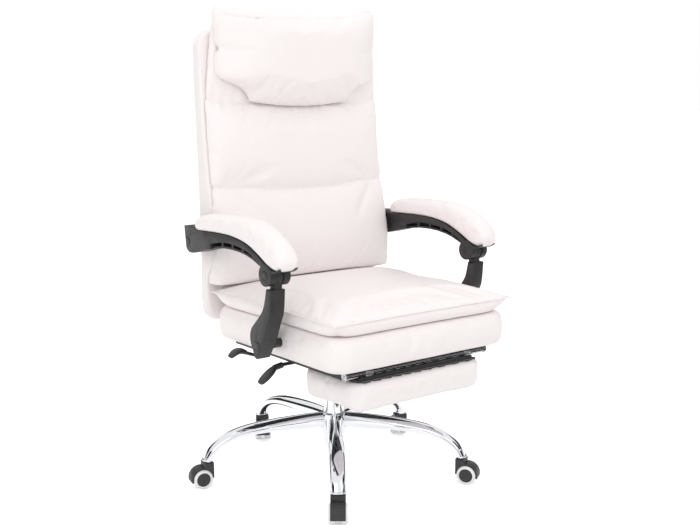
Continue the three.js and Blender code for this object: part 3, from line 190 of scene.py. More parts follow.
def noise(made, scale, detail, cells=False):
    """A pattern on the object's own coordinates, of that many features to the metre: clouds, or the
    distance to the nearest of scattered points."""
    nodes, links = made.node_tree.nodes, made.node_tree.links
    pattern = nodes.new("ShaderNodeTexVoronoi" if cells else "ShaderNodeTexNoise")
    pattern.inputs["Scale"].default_value, pattern.inputs["Detail"].default_value = scale, detail
    links.new(nodes.new("ShaderNodeTexCoord").outputs["Object"], pattern.inputs["Vector"])
    return pattern.outputs["Distance" if cells else "Fac"]


def spread(made, scale, detail, low, high, socket="Roughness"):
    """Carries clouds of a scale and a detail to a socket, from low to high: numbers, or two colours."""
    nodes, links = made.node_tree.nodes, made.node_tree.links
    shader, value = nodes["Principled BSDF"], noise(made, scale, detail)
    if isinstance(low, tuple):
        mix = nodes.new("ShaderNodeMix")
        mix.data_type = "RGBA"
        mix.inputs[6].default_value, mix.inputs[7].default_value = (*low, 1), (*high, 1)
        links.new(value, mix.inputs[0])
        links.new(mix.outputs[2], shader.inputs[socket])
    else:
        reach = nodes.new("ShaderNodeMapRange")
        reach.inputs["To Min"].default_value, reach.inputs["To Max"].default_value = low, high
        links.new(value, reach.inputs["Value"])
        links.new(reach.outputs["Result"], shader.inputs[socket])


def relief(made, *layers):
    """Stacks patterns as bumps: each layer has its scale and detail, how strong it is, its height in
    metres, and True at the end where it is made of cells."""
    nodes, links = made.node_tree.nodes, made.node_tree.links
    before = None
    for scale, detail, strength, height, *cells in layers:
        bump = nodes.new("ShaderNodeBump")
        bump.inputs["Strength"].default_value = strength
        bump.inputs["Distance"].default_value = height
        links.new(noise(made, scale, detail, *cells), bump.inputs["Height"])
        if before:
            links.new(before.outputs["Normal"], bump.inputs["Normal"])
        before = bump
    links.new(before.outputs["Normal"], nodes["Principled BSDF"].inputs["Normal"])


chrome = paint("polished_chrome", (0.80, 0.81, 0.84), 0.06, 1)
spread(chrome, 18, 4, 0.035, 0.10)
relief(chrome, (60, 2, 0.04, 0.0006))

REACH, CROWN, FOOT = 0.312, 0.130, 0.062  # a foot's distance, a leg's level height, its open end
LEG_DEPTH, LEG_WIDTH = 0.0405, 0.037
HUB, HUB_LOW, HUB_TOP, COLUMN = 0.031, 0.098, 0.146, 0.0253
LEG_TURNS = np.radians(-35.5 + 72 * np.arange(5))
# Shares of the reach, the rise above the foot, the depth and the width
LEG = [
    (0.07, 0.96, 0.96, 0.7), (0.2, 0.975, 0.94, 0.76), (0.36, 0.975, 0.86, 0.88), (0.53, 0.955, 0.74, 0.97),
    (0.69, 0.89, 0.65, 1), (0.81, 0.755, 0.59, 0.99), (0.9, 0.55, 0.55, 0.96), (0.965, 0.29, 0.53, 0.92),
    (1, 0, 0.525, 0.88),
]


def at_leg(turn, forward, across, height):
    """Points set out forwards, across and up for one leg, turned about the middle of the base."""
    x = np.sin(turn) * forward + np.cos(turn) * across
    y = -np.cos(turn) * forward + np.sin(turn) * across
    return np.stack((x, y, height), -1)


def leg(turn, rings=72, sides=48, flatter=0.94, squareness=0.86):
    """An oval carried along the arched line of a leg: its depth and width follow the table, its
    lower half is flatter than its upper one, and the last ring turns level at the open foot."""
    line = through(LEG, rings)
    out, up = line[:, 0] * REACH, FOOT + line[:, 1] * (CROWN - FOOT)
    run = unit(np.stack((np.gradient(out), np.gradient(up)), 1))
    run[-1] = (0, -1)
    angle = circle(sides)
    raise_by = np.sin(angle) * np.where(np.sin(angle) < 0, flatter, 1.0)
    depth, width = line[:, 2:3] * LEG_DEPTH / 2, line[:, 3:4] * LEG_WIDTH / 2
    forward = out[:, None] - run[:, 1:2] * depth * raise_by
    height = up[:, None] + run[:, 0:1] * depth * raise_by
    across = width * squared(np.cos(angle), squareness)
    return skin(at_leg(turn, forward, across, height))


def foot_ring(turn, width=0.88, depth=0.56, thick=0.0012, rise=0.0022):
    """A flat collar round a leg's open end: an oval tube of small section, as wide and as deep as
    these shares of the leg."""
    angle, section = circle(40)[:, None], circle(12)[None, :]
    across = np.cos(angle) * (LEG_WIDTH * width / 2 + thick * np.cos(section))
    forward = REACH + np.sin(angle) * (LEG_DEPTH * depth / 2 + thick * np.cos(section))
    height = FOOT + rise + rise * np.sin(section) + 0 * angle
    return skin(at_leg(turn, forward, across, height), ring=True)


def closed_turn(profile, middle=(0, 0, 0), axis=(0, 0, 1), sides=64):
    """A ring of revolution whose profile ends where it starts, so it has no caps."""
    spots, faces = turned(profile[:-1], middle, axis, sides)
    count = len(profile) - 1
    faces = [face for face in faces if len(face) == 4]
    first, last = np.arange(sides), (count - 1) * sides + np.arange(sides)
    join = np.stack((last, np.roll(last, -1), np.roll(first, -1), first), 1)
    return spots[:-2], faces + join.tolist()


hub = [(COLUMN, HUB_LOW), (HUB, HUB_LOW), (HUB, HUB_TOP), (COLUMN, HUB_TOP), (COLUMN, HUB_LOW)]
place("star_base_chrome", closed_turn(rounded(hub, 0.003)), *[leg(t) for t in LEG_TURNS],
      *[foot_ring(t) for t in LEG_TURNS], material=chrome, body="base", replaced=["star_base"],
      slot="chrome")

# Gas lift
# The outer tube is chromed and sits in the hub. The black pressure tube slides in its mouth and
# carries the seat; a rod, a bearing and a clip hold it at the floor of the outer tube.


def dressed(node, material, edge=0.0006):
    """A merged copy of a machined, pressed or moulded piece: its flats become single faces, and
    every edge sharper than 32 degrees gets a small round."""
    mesh = frame["nodes"][node].data.copy()
    shape = bmesh.new()
    shape.from_mesh(mesh)
    bmesh.ops.remove_doubles(shape, verts=shape.verts, dist=0.000002)
    bmesh.ops.dissolve_limit(shape, angle_limit=np.radians(0.6), verts=shape.verts, edges=shape.edges)
    shape.to_mesh(mesh)
    shape.free()
    mesh.materials.clear()
    mesh.materials.append(material)
    mesh.shade_smooth()
    piece = added(node + "_finished", mesh)
    bevel = piece.modifiers.new("edges", "BEVEL")
    bevel.width, bevel.segments = edge, 2
    bevel.limit_method, bevel.angle_limit = "ANGLE", np.radians(32)
    bevel.harden_normals = True
    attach(piece, frame["nodes"][node]["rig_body"])
    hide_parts(node)


enamel = paint("black_enamel", (0.022, 0.022, 0.024), 0.38)
spread(enamel, 45, 5, 0.30, 0.52)
relief(enamel, (900, 2, 0.12, 0.0002))
zinc = paint("zinc_plate", (0.52, 0.53, 0.55), 0.30, 1)
spread(zinc, 120, 6, (0.44, 0.45, 0.48), (0.62, 0.62, 0.62), "Base Color")
spread(zinc, 70, 4, 0.22, 0.42)

# Radius and height: up the outside, over the guide in the mouth and down the bore
column = [(0.0055, 0.068), (0.025, 0.068), (0.025, 0.2595), (0.0225, 0.262), (0.0145, 0.262),
          (0.0145, 0.224), (0.0225, 0.224), (0.0225, 0.072), (0.0055, 0.072), (0.0055, 0.068)]
place("column_tube_chrome", closed_turn(rounded(column, 0.0009)), material=chrome,
      body="base", replaced=["column_tube"], slot="chrome")
dressed("pressure_tube", enamel)
for node in ("thrust_bearing", "retaining_clip", "piston_rod"):
    dressed(node, zinc)

# Casters
# Each has a moulded hood with a flat block under the leg's foot and a round back, and a
# two-colour wheel on each side: a black disc with a stepped cap and a white tread round it.

moulding = paint("charcoal_moulding", (0.026, 0.0245, 0.026), 0.5)
spread(moulding, 40, 4, (0.021, 0.0195, 0.021), (0.031, 0.0295, 0.031), "Base Color")
spread(moulding, 22, 3, 0.42, 0.58)
relief(moulding, (2600, 1, 0.22, 0.00012, True))
tread = paint("white_tread", (0.84, 0.84, 0.86), 0.42)
spread(tread, 90, 4, (0.80, 0.80, 0.82), (0.88, 0.88, 0.89), "Base Color")

WHEEL, WHEEL_WIDTH, CORE, WEB = 0.0225, 0.017, 0.016, 0.004
# Radius, and place across the wheel from the hood's web outwards
TYRE = [(CORE, 0.001), (0.0198, 0.0004), (WHEEL, 0.0032), (WHEEL, WHEEL_WIDTH - 0.0032),
        (0.0198, WHEEL_WIDTH), (CORE, WHEEL_WIDTH - 0.0002), (CORE, 0.001)]
DISC = [(0, 0.0012), (CORE - 0.0001, 0.0012), (CORE - 0.0001, WHEEL_WIDTH - 0.0012),
        (0.0146, WHEEL_WIDTH - 0.0008), (0.0136, WHEEL_WIDTH - 0.0018), (0.006, WHEEL_WIDTH - 0.0011),
        (0.0, WHEEL_WIDTH - 0.0009)]
joint_at = {joint["name"]: joint for joint in frame["joints"]}
for number in range(1, 6):
    dressed(f"caster_hood_{number}", moulding, edge=0.0011)
    for label, side in (("a", 1), ("b", -1)):
        wheel = f"wheel_{number}{label}"
        roll = joint_at[f"wheel_roll_{number}{label}"]
        axis = side * np.array(roll["axis"])
        inner = np.array(roll["pos_m"]) + axis * WEB
        place(f"caster_tread_{number}{label}", closed_turn(rounded(TYRE, 0.0022), inner, axis),
              material=tread, body=wheel, replaced=[f"caster_wheel_{number}{label}"], slot="white_tyre")
        place(f"caster_disc_{number}{label}", turned(rounded(DISC, 0.0007), inner, axis),
              material=moulding, body=wheel, slot="black_plastic")

# Seat mechanism, hinges and locking strut
# Folded and welded steel plates in black enamel, screwed up under the seat board, with the
# zinc-plated rod of a gas strut that holds the back's lean.

for node in ("seat_mechanism", "footrest_guide_left", "footrest_guide_right", "strut_cylinder",
             "seat_hinge_plate_left", "seat_hinge_plate_right", "back_hinge_plate_left",
             "back_hinge_plate_right"):
    dressed(node, enamel, edge=0.0008)
dressed("strut_rod", zinc)

# Levers
# Two steel rods turn in ears beside the mechanism and end in moulded paddles on the sitter's
# right. The front one, which locks the back, has a ribbed sleeve on its rod.

satin = paint("dark_satin_moulding", (0.030, 0.030, 0.032), 0.3)
spread(satin, 60, 4, 0.24, 0.38)
relief(satin, (1500, 2, 0.08, 0.0002))


def carried(line, widths, depths, across=(0, 1, 0), sides=32, squareness=1.0):
    """A section carried along a line of points: half a width along one fixed direction and half a
    depth at right angles to it and to the line, on an oval whose squareness is a power."""
    line, across = np.asarray(line, float), np.array(across, float)
    run = unit(np.gradient(line, axis=0))
    up = unit(np.cross(run, across))
    flat = squared(np.cos(circle(sides)), squareness)
    tall = squared(np.sin(circle(sides)), squareness)
    grid = line[:, None] + flat[None, :, None] * np.reshape(widths, (-1, 1, 1)) * across
    grid = grid + tall[None, :, None] * np.reshape(depths, (-1, 1, 1)) * up[:, None]
    return skin(grid)


PIVOT_X, BEND_X, LEVER_Z, PADDLE_REACH = -0.150, -0.203, 0.311, 0.067
ROD, PADDLE_HALF, PADDLE_DEPTH = 0.004, 0.013, 0.0065  # the rod's radius, half a paddle's width and depth
# Place along y, then the paddle's line outwards and upwards as shares of its reach
PADDLES = {
    "height_lever": (0.032, [(0.34, 0.12), (0.55, 0.22), (0.76, 0.21), (1, 0.06)]),
    "recline_lever": (-0.080, [(0.3, -0.05), (0.49, -0.19), (0.69, -0.34), (0.9, -0.5)]),
}
# Shares of the paddle's length, width and depth
PADDLE_SWELL = [(0, 0.62, 0.8), (0.33, 0.95, 1), (0.7, 1, 0.9), (1, 0.72, 0.6)]
for lever, (lever_y, shares) in PADDLES.items():
    corners = [(BEND_X - out * PADDLE_REACH, lever_y, LEVER_Z + up * PADDLE_REACH) for out, up in shares]
    line = through(corners, 40)
    t = np.linspace(0, 1, 40)
    swell = smoothly(PADDLE_SWELL, t)
    ends = np.sqrt(np.clip(1 - np.abs(2 * t - 1) ** 12, 0.02, 1))
    blade = carried(line, PADDLE_HALF * swell[:, 1] * ends, PADDLE_DEPTH * swell[:, 2] * ends,
                    squareness=0.8)
    path = np.array([(0, PIVOT_X, lever_y, LEVER_Z), (1, BEND_X + 0.006, lever_y, LEVER_Z),
                     (1.2, BEND_X, lever_y, LEVER_Z - 0.0004), (2, *corners[0]), (2.6, *line[9])])
    rod = carried(smoothly(path, np.linspace(0, 2.6, 48))[:, 1:], ROD, ROD)
    boss = turned(rounded([(0, -0.005), (0.007, -0.005), (0.007, 0.005), (0, 0.005)], 0.001),
                  (PIVOT_X, lever_y, LEVER_Z), (0, 1, 0), 40)
    shells = [blade, rod, boss]
    if lever == "recline_lever":
        t = np.linspace(0.45, 0.83, 60)
        sleeve = np.stack([np.interp(t * 2.6, path[:, 0], path[:, k]) for k in (1, 2, 3)], 1)
        ribbed = 0.0056 + 0.0013 * np.abs(np.sin(np.linspace(0, 5 * np.pi, 60))) ** 0.5
        shells.append(carried(sleeve, ribbed, ribbed))
    place(f"{lever}_paddle", *shells, material=satin, body=lever, replaced=[lever], slot="lever_plastic")

# Seat board
# A plywood board let into the underside of the seat, wrapped in black lining cloth and stapled.

lining = paint("black_lining_cloth", (0.030, 0.029, 0.031), 0.85)
lining.node_tree.nodes["Principled BSDF"].inputs["Sheen Weight"].default_value = 0.25
spread(lining, 35, 4, (0.022, 0.021, 0.023), (0.042, 0.040, 0.042), "Base Color")
relief(lining, (1400, 2, 0.35, 0.0004), (30, 3, 0.3, 0.002))
dressed("seat_board", lining, edge=0.0015)

# Lower seat cushion
# Foam boxed in smooth white leather cloth, with softly rolled edges, round upright corners and
# the shallow dimples that the cover takes where it is pulled under and stapled.

leather = paint("white_leather_cloth", (0.88, 0.825, 0.82), 0.5)
spread(leather, 7, 3, (0.872, 0.812, 0.805), (0.893, 0.843, 0.840), "Base Color")
spread(leather, 26, 4, 0.44, 0.58)
relief(leather, (240, 3, 0.10, 0.0005), (1050, 1, 0.20, 0.00025, True))


def waves(points, size, height, seed):
    """Soft unevenness of stuffed cloth: for each point, a sum of eight sine waves of about one size
    in directions drawn from a fixed seed, no higher than the given height."""
    draw = np.random.default_rng(seed)
    ways = draw.normal(size=(8, 3))
    ways *= (2 * np.pi / size) * draw.uniform(0.6, 1.5, (8, 1)) / np.linalg.norm(ways, axis=1)[:, None]
    return height * np.sin(points @ ways.T + draw.uniform(0, 2 * np.pi, 8)).mean(-1) * 1.6


def lengths(line):
    """How far along a line each of its points is."""
    return np.concatenate(([0], np.cumsum(np.linalg.norm(np.diff(line, axis=0), axis=1))))


def rounded_plan(half, front, rear, radius, count, rear_radius=None):
    """Points round a rectangle with circular corners, evenly spaced along its outline, and the
    outward direction at each of them."""
    rear_radius = rear_radius or radius
    corners = ((1, rear - rear_radius, rear_radius), (-1, rear - rear_radius, rear_radius),
               (-1, front + radius, radius), (1, front + radius, radius))
    spots, ways = [], []
    for k, (side, middle, bend) in enumerate(corners):
        angle = np.linspace(0, np.pi / 2, 24) + k * np.pi / 2
        ways.append(np.stack((np.cos(angle), np.sin(angle)), 1))
        spots.append(np.array((side * (half - bend), middle)) + bend * ways[-1])
    line = np.hstack((np.concatenate(spots), np.concatenate(ways)))
    line = np.concatenate((line, line[:1]))
    far = lengths(line[:, :2])
    at = (np.arange(count) + 0.5) / count * far[-1]
    even = np.stack([np.interp(at, far, column) for column in line.T], 1)
    return even[:, :2], unit(even[:, 2:])


def boxed_pad(half, front, rear, radius, low, high, roll, bulge, count=260):
    """A boxed pad: the rounded plan is carried up a side that swells in its middle, and rolls over
    above and below along quarter ovals; rings then close in to the middle of the flat faces."""
    spots, ways = rounded_plan(half, front, rear, radius, count)
    quarter = np.linspace(0, np.pi / 2, 9)
    upright = np.linspace(0, 1, 18)[1:-1]
    rise = np.concatenate((roll * (1 - np.cos(quarter)), roll + upright * (high - low - 2 * roll),
                           high - low - roll * (1 - np.sin(quarter))))
    draw = np.concatenate((roll * (1 - np.sin(quarter)), 0 * upright, roll * (1 - np.cos(quarter))))
    out = bulge * np.sin(np.pi * rise / (high - low)) - draw
    side = np.stack([np.column_stack((spots + o * ways, np.full(count, low + r)))
                     for o, r in zip(out, rise)])
    inward = np.linspace(0, 1, 16)[1:-1, None, None] ** 0.8
    faces = []
    for ring in (side[0], side[-1]):
        centre = np.array((0, (front + rear) / 2, ring[0, 2]))
        faces.append(centre + (ring - centre) * (1 - inward))
    return np.concatenate((faces[0][::-1], side, faces[1]))


def positions(mesh, what="co"):
    """The points or the normals of a mesh as one array."""
    out = np.empty(len(mesh.vertices) * 3)
    mesh.vertices.foreach_get(what, out)
    return out.reshape(-1, 3)


def distances(points, line):
    """How far each point is from the nearest of a dense line's points, and which one that is."""
    tree = KDTree(len(line))
    for k, spot in enumerate(line):
        tree.insert(spot, k)
    tree.balance()
    near = np.array([tree.find(spot)[1:] for spot in points.tolist()])
    return near[:, 1], near[:, 0].astype(int)


def stuffed(name, shell, body, node, pinned, swell, spare, voxel=0.006):
    """A padded piece: a closed skin is meshed evenly, the points that pinned gives a weight are
    held, and air pressure swells the cloth, with a little of it to spare, over twenty frames. No
    point moves farther than swell. One subdivision smooths the result."""
    points, faces = shell
    mesh = bpy.data.meshes.new(name)
    mesh.from_pydata(points.tolist(), [], faces)
    piece = added(name, mesh)
    outward(piece)
    even = piece.modifiers.new("even", "REMESH")
    even.mode, even.voxel_size = "VOXEL", voxel
    apply_all(piece)
    rest = positions(piece.data)
    held = np.clip(pinned(rest), 0, 1)
    stitches = piece.vertex_groups.new(name="stitches")
    for index in np.flatnonzero(held > 0.02):
        stitches.add([int(index)], float(held[index]), "REPLACE")
    cloth = piece.modifiers.new("filling", "CLOTH")
    cloth.settings.quality, cloth.settings.mass = 5, 0.3
    cloth.settings.tension_stiffness = cloth.settings.compression_stiffness = 15
    cloth.settings.shear_stiffness, cloth.settings.bending_stiffness = 5, 0.6
    cloth.settings.use_pressure, cloth.settings.uniform_pressure_force = True, 3
    cloth.settings.shrink_min = -spare
    cloth.settings.vertex_group_mass = "stitches"
    cloth.settings.effector_weights.gravity = 0
    cloth.collision_settings.use_collision = False
    for moment in range(1, 21):
        bpy.context.scene.frame_set(moment)
    apply_all(piece)
    bpy.context.scene.frame_set(1)
    move = positions(piece.data) - rest
    far = np.linalg.norm(move, axis=1, keepdims=True)
    move *= np.minimum(1, swell / np.maximum(far, 1e-9))
    piece.data.vertices.foreach_set("co", (rest + move * (1 - held[:, None])).ravel())
    piece.vertex_groups.clear()
    smooth = piece.modifiers.new("smooth", "SUBSURF")
    smooth.levels = smooth.render_levels = 1
    apply_all(piece)
    piece.data.materials.clear()
    piece.data.materials.append(leather)
    piece.data.shade_smooth()
    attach(piece, body)
    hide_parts(node)
    return piece


def apply_all(piece):
    """Puts a piece's modifiers into its mesh."""
    depsgraph = bpy.context.evaluated_depsgraph_get()
    mesh = bpy.data.meshes.new_from_object(piece.evaluated_get(depsgraph))
    piece.modifiers.clear()
    piece.data = mesh


def stitched(piece, line, depth, width, gather=0.0, pitch=0.034, reach=0.020, seed=0, catch=0.0017):
    """Sews a line into a stuffed piece: the points within a catch of it drop onto it, the cloth beside
    it sinks along a bell curve, and gathers of uneven pitch run out at right angles to it."""
    spots, normals = positions(piece.data), positions(piece.data, "normal")
    far, index = distances(spots, line)
    run = lengths(line)[index]
    on = far < catch
    spots[on] = np.asarray(line)[index[on]]
    spots -= normals * (depth * np.exp(-((far / width) ** 2)))[:, None]
    if gather:
        draw = np.random.default_rng(seed)
        a, b, c = draw.uniform(0, 6, 3)
        wave = np.sin(run * 2 * np.pi / pitch + 1.9 * np.sin(run * 27 + a) + b)
        uneven = 0.45 + 0.55 * np.sin(run * 41 + c) * np.sin(run * 17 + a)
        side = far / reach
        spots += normals * (gather * wave * uneven * side * np.exp(1.5 - 2.2 * side))[:, None]
    piece.data.vertices.foreach_set("co", spots.ravel())
    piece.data.update()


SEAT_HALF, SEAT_FRONT, SEAT_REAR, SEAT_LOW, SEAT_TOP = 0.2455, -0.3345, 0.1385, 0.341, 0.4165
LINED_INSET = 0.014  # how far inside the edge the black lining under it ends
seat_body = boxed_pad(SEAT_HALF, SEAT_FRONT, SEAT_REAR, 0.043, SEAT_LOW, SEAT_TOP, 0.016, 0.0025)
seat_body[..., :2] *= 1 + waves(seat_body, 0.16, 0.004, 3)[..., None]
lower_cushion = stuffed(
    "seat_base_cover", skin(seat_body), "seat", "seat_base_cushion",
    lambda p: (p[:, 2] < SEAT_LOW + 0.008) + (p[:, 2] > SEAT_TOP - 0.003) + (p[:, 1] > SEAT_REAR - 0.006),
    swell=0.0035, spare=0.01, voxel=0.0075)
lower_cushion.data.materials.append(lining)
centres = np.zeros(len(lower_cushion.data.polygons) * 3)
lower_cushion.data.polygons.foreach_get("center", centres)
x, y, z = centres.reshape(-1, 3).T
hidden = (z < SEAT_LOW + 0.0012) & (np.abs(x) < SEAT_HALF - LINED_INSET)
hidden &= (y > SEAT_FRONT + LINED_INSET) & (y < SEAT_REAR - LINED_INSET)
lower_cushion.data.polygons.foreach_set("material_index", hidden.astype(int))

# Seat pad
# A soft quilted pad sewn on top of the boxed cushion: a crowned panel, a puffed band round it, and
# a corded seam between them, with a short pinch in the cloth near three of its corners.

PAD_HALF, PAD_FRONT, PAD_REAR = 0.250, -0.335, 0.142
PIPING_Z, PAD_LOW, PAD_CROWN = 0.447, 0.4173, 0.030
DRAWN_IN, CORNER_CUT, CORNER_TIP = 0.007, 0.026, 0.024
SIT = 0.005  # how far the panel's middle has sunk
BAND_PUFF, BAND_TUCK, UNDER_TUCK = 0.0045, 0.009, 0.012
CORD, CORD_OUT = 0.0019, 0.0012
# Both ends of each pinch, in plan
PINCHES = [
    ((-0.243, -0.324), (-0.186, -0.326)), ((-0.240, 0.100), (-0.205, 0.075)),
    ((0.241, -0.321), (0.212, -0.300)),
]


def laid(piece, line, axis):
    """Lays a line on a piece: one coordinate of each point becomes that of the nearest mesh point."""
    spots = positions(piece.data)
    line[:, axis] = spots[distances(line, spots)[1], axis]
    return line


def eased(value, low, high):
    """0 below low, 1 above high, and a smooth step between."""
    t = np.clip((value - low) / (high - low), 0, 1)
    return t * t * (3 - 2 * t)


def pad_outline(u, v, spread_by, z, tip=1):
    """The pad at a height, for u across and v along, each -1 to 1: its sides draw in between the
    corners, whose tips stay long at the seam and are round below it."""
    middle, half_length = (PAD_FRONT + PAD_REAR) / 2, (PAD_REAR - PAD_FRONT) / 2
    cut = (CORNER_CUT - CORNER_TIP * np.asarray(tip)) * (np.abs(u) * np.abs(v)) ** 9
    x = u * (PAD_HALF + spread_by - DRAWN_IN * (1 - v**2)) - np.sign(u) * cut
    y = middle + v * (half_length + spread_by - DRAWN_IN * (1 - u**2)) - np.sign(v) * cut
    return np.stack(np.broadcast_arrays(x, y, z), -1)


def piping(line, radius):
    """A closed cord of round section along a level loop of points."""
    run = unit(np.roll(line, -1, 0) - np.roll(line, 1, 0))
    out = unit(np.cross(run, (0, 0, 1)))
    up = np.cross(out, run)
    angle = circle(10)[None, :, None]
    grid = line[:, None] + radius * (np.cos(angle) * out[:, None] + np.sin(angle) * up[:, None])
    return skin(grid, ring=True)


def crown(u, v):
    """A crown: 1 in the middle, falling to 0 at each edge along a fourth power."""
    return ((1 - u**4) * (1 - v**4)) ** 0.5


def border(grid):
    """The border of a square grid, once round."""
    return np.concatenate((grid[0, :-1], grid[:-1, -1], grid[-1, :0:-1], grid[:0:-1, 0]))


def net(count, ease):
    """A square grid of u and v, each -1 to 1 and closer together towards the edges, and both again
    along its border."""
    ways = np.sin(np.linspace(-1, 1, count) * np.pi / 2 * ease) / np.sin(np.pi / 2 * ease)
    v, u = np.meshgrid(ways, ways, indexing="ij")
    return u, v, border(u), border(v)


def square_pad(top, loops, bottom):
    """A closed skin: a grid over the top, loops of points round its edge, and a like grid below."""
    rows, columns = top.shape[:2]
    index = np.arange(rows * columns).reshape(rows, columns)
    edge = border(index)
    grid = np.stack((index[:-1, :-1], index[:-1, 1:], index[1:, 1:], index[1:, :-1]), -1).reshape(-1, 4)
    spots, faces, ring = [top.reshape(-1, 3)], grid.tolist(), edge
    start = rows * columns
    for loop in loops:
        following = start + np.arange(len(edge))
        faces += np.stack((np.roll(ring, -1), ring, following, np.roll(following, -1)), 1).tolist()
        spots.append(loop)
        ring, start = following, start + len(edge)
    lower = start + edge
    faces += np.stack((np.roll(ring, -1), ring, lower, np.roll(lower, -1)), 1).tolist()
    faces += (start + grid[:, ::-1]).tolist()
    spots.append(bottom.reshape(-1, 3))
    return np.concatenate(spots), faces


def seat_crown(x, y):
    """Height of the pad's top at a place: a crown that falls off along a fourth power each way."""
    u = np.clip(x / PAD_HALF, -1, 1)
    v = np.clip((y - (PAD_FRONT + PAD_REAR) / 2) / ((PAD_REAR - PAD_FRONT) / 2), -1, 1)
    return PIPING_Z + PAD_CROWN * crown(u, v)


u_grid, v_grid, edge_u, edge_v = net(97, 0.93)
top = pad_outline(u_grid, v_grid, 0.0, PIPING_Z + PAD_CROWN * crown(u_grid, v_grid))
top[..., 2] -= (SIT * eased(0.05 - top[..., 1], 0, 0.05) * eased(1 - np.abs(u_grid), 0, 0.3)
                * eased(1 + v_grid, 0, 0.3))
loops = []
for t in np.linspace(0, 1, 15)[1:]:
    out = BAND_PUFF * np.sin(np.pi * t) ** 0.75 - BAND_TUCK * t**2.2
    level = PIPING_Z - (PIPING_Z - PAD_LOW) * t
    loops.append(pad_outline(edge_u, edge_v, out, level, tip=(1 - t) ** 2))
bottom = pad_outline(u_grid, v_grid, -UNDER_TUCK, PAD_LOW, tip=0)
fine = np.linspace(-1, 1, 400)[:-1]
fine_u = np.concatenate((fine, fine * 0 + 1, -fine, fine * 0 - 1))
fine_v = np.roll(fine_u, len(fine))
seat_seam = pad_outline(fine_u, fine_v, 0.0, PIPING_Z)
seat_pad = stuffed(
    "seat_pad_cover", square_pad(top, loops, bottom), "seat", "seat_pad",
    lambda p: (p[:, 2] < PAD_LOW + 0.004) + (p[:, 1] > 0.05) * 1.0 + (distances(p, seat_seam)[0] < 0.005),
    swell=0.008, spare=0.008)
stitched(seat_pad, seat_seam, 0.0012, 0.004, gather=0.0007, pitch=0.045, seed=5)
for start, end in PINCHES:
    pinch = np.linspace((*start, 0.453), (*end, 0.460), 60)
    stitched(seat_pad, laid(seat_pad, pinch, 2), 0.0045, 0.0035)
cord_way = np.stack((np.sign(seat_seam[:, 0]) * (np.abs(fine_u) > 0.999),
                     np.sign(fine_v) * (np.abs(fine_v) > 0.999), np.full_like(fine_u, 0.4)), -1)
place("seat_pad_piping", piping(seat_seam + CORD_OUT * cord_way, CORD), material=leather, body="seat",
      slot="upholstery")

# Footrest
# A chromed bar and two runners slide in the guides. A padded board hangs on the bar by two clips:
# its lining cloth is stapled round the board's edge and shows as an uneven black hem.

FOOT_BAR_Y, FOOT_BAR_Z, FLANK = -0.300, 0.330, 0.188
BAR, BAR_HALF, RUNNER_HALF, RUNNER_DEPTH = 0.008, 0.196, 0.007, 0.0075
# Radius, and place out from the middle of the bar
CAP = [(0, 0.1964), (0.009, 0.1964), (0.009, 0.2010), (0.0068, 0.2013), (0.0062, 0.2004),
       (0.0034, 0.2004), (0.0028, 0.2012), (0, 0.2013)]
bar = [(0, -BAR_HALF), (BAR, -BAR_HALF), (BAR, BAR_HALF), (0, BAR_HALF)]
shells = [turned(rounded(bar, 0.0006), (0, FOOT_BAR_Y, FOOT_BAR_Z), (1, 0, 0), 48)]
run_y = np.concatenate(([-0.2995, -0.299], np.linspace(-0.295, 0.0995, 60), [0.1]))
half = np.ones((len(run_y), 1))
half[[0, -1]] = 0.9
for side in (1, -1):
    line = np.stack((np.full_like(run_y, side * FLANK), run_y, np.full_like(run_y, FOOT_BAR_Z)), 1)
    shells.append(carried(line, RUNNER_HALF * half, RUNNER_DEPTH * half, (1, 0, 0), 40, 0.28))
# The bar and runners get a darker, rougher copy of the chrome: painted shade for the dark surroundings they
# reflect under the seat.
bar_chrome_painted_dark = paint("chrome_darkened_painted_shade", (0.40, 0.40, 0.42), 0.16, 1)
spread(bar_chrome_painted_dark, 30, 3, 0.12, 0.20)
place("footrest_frame_chrome", *shells, material=bar_chrome_painted_dark, body="footrest_frame",
      replaced=["footrest_frame"], slot="chrome")
for label, side in (("left", 1), ("right", -1)):
    place(f"footrest_bar_cap_{label}_turned",
          turned(rounded(CAP, 0.0004), (0, FOOT_BAR_Y, FOOT_BAR_Z), (side, 0, 0), 48),
          material=zinc, body="footrest_frame", replaced=[f"footrest_bar_cap_{label}"], slot="zinc_steel")
    dressed(f"footrest_clip_{label}", zinc, edge=0.0005)
dressed("footrest_board", lining, edge=0.0012)

FOOT_HALF, FOOT_FRONT, FOOT_REAR, FOOT_LOW, FOOT_TOP = 0.180, -0.3195, -0.122, 0.2505, 0.3124
foot_body = boxed_pad(FOOT_HALF, FOOT_FRONT, FOOT_REAR, 0.030, FOOT_LOW, FOOT_TOP, 0.010, 0.0015, count=220)
stuffed("footrest_pad_cover", skin(foot_body), "footrest", "footrest_pad",
        lambda p: (p[:, 2] > FOOT_TOP - 0.006) * 1.0, swell=0.003, spare=0.012)

HEM_COUNT, HEM_RUN = 420, 0.66
# How far each ring of the hem stands out from its line, and above the pad
HEM = [(-0.010, 0.0), (-0.002, 0.0), (0.0, 0.0002), (0.0002, 0.0008), (-0.0016, 0.0012), (-0.010, 0.0012)]
hem_spots, hem_ways = rounded_plan(0.171, -0.3130, -0.130, 0.016, HEM_COUNT)
far = np.arange(HEM_COUNT) / HEM_COUNT * HEM_RUN
hem_out = (0.0026 * np.sin(far * 2 * np.pi / 0.021 + 2 * np.sin(far * 31))
           + 0.0012 * np.sin(far * 2 * np.pi / 0.009))
rows = []
for out, rise in HEM:
    edge_at = hem_spots + (out + hem_out * (out > -0.003))[:, None] * hem_ways
    rows.append(np.column_stack((edge_at, np.full(HEM_COUNT, FOOT_TOP + 0.0002 + rise))))
place("footrest_board_hem", skin(np.stack(rows), ring=True), material=lining,
      body="footrest", slot="board_cloth")

# Back shell
# A slab of foam over a board, covered in the same white leather cloth: flat behind, with rolled
# edges and a corded seam round the rear panel.

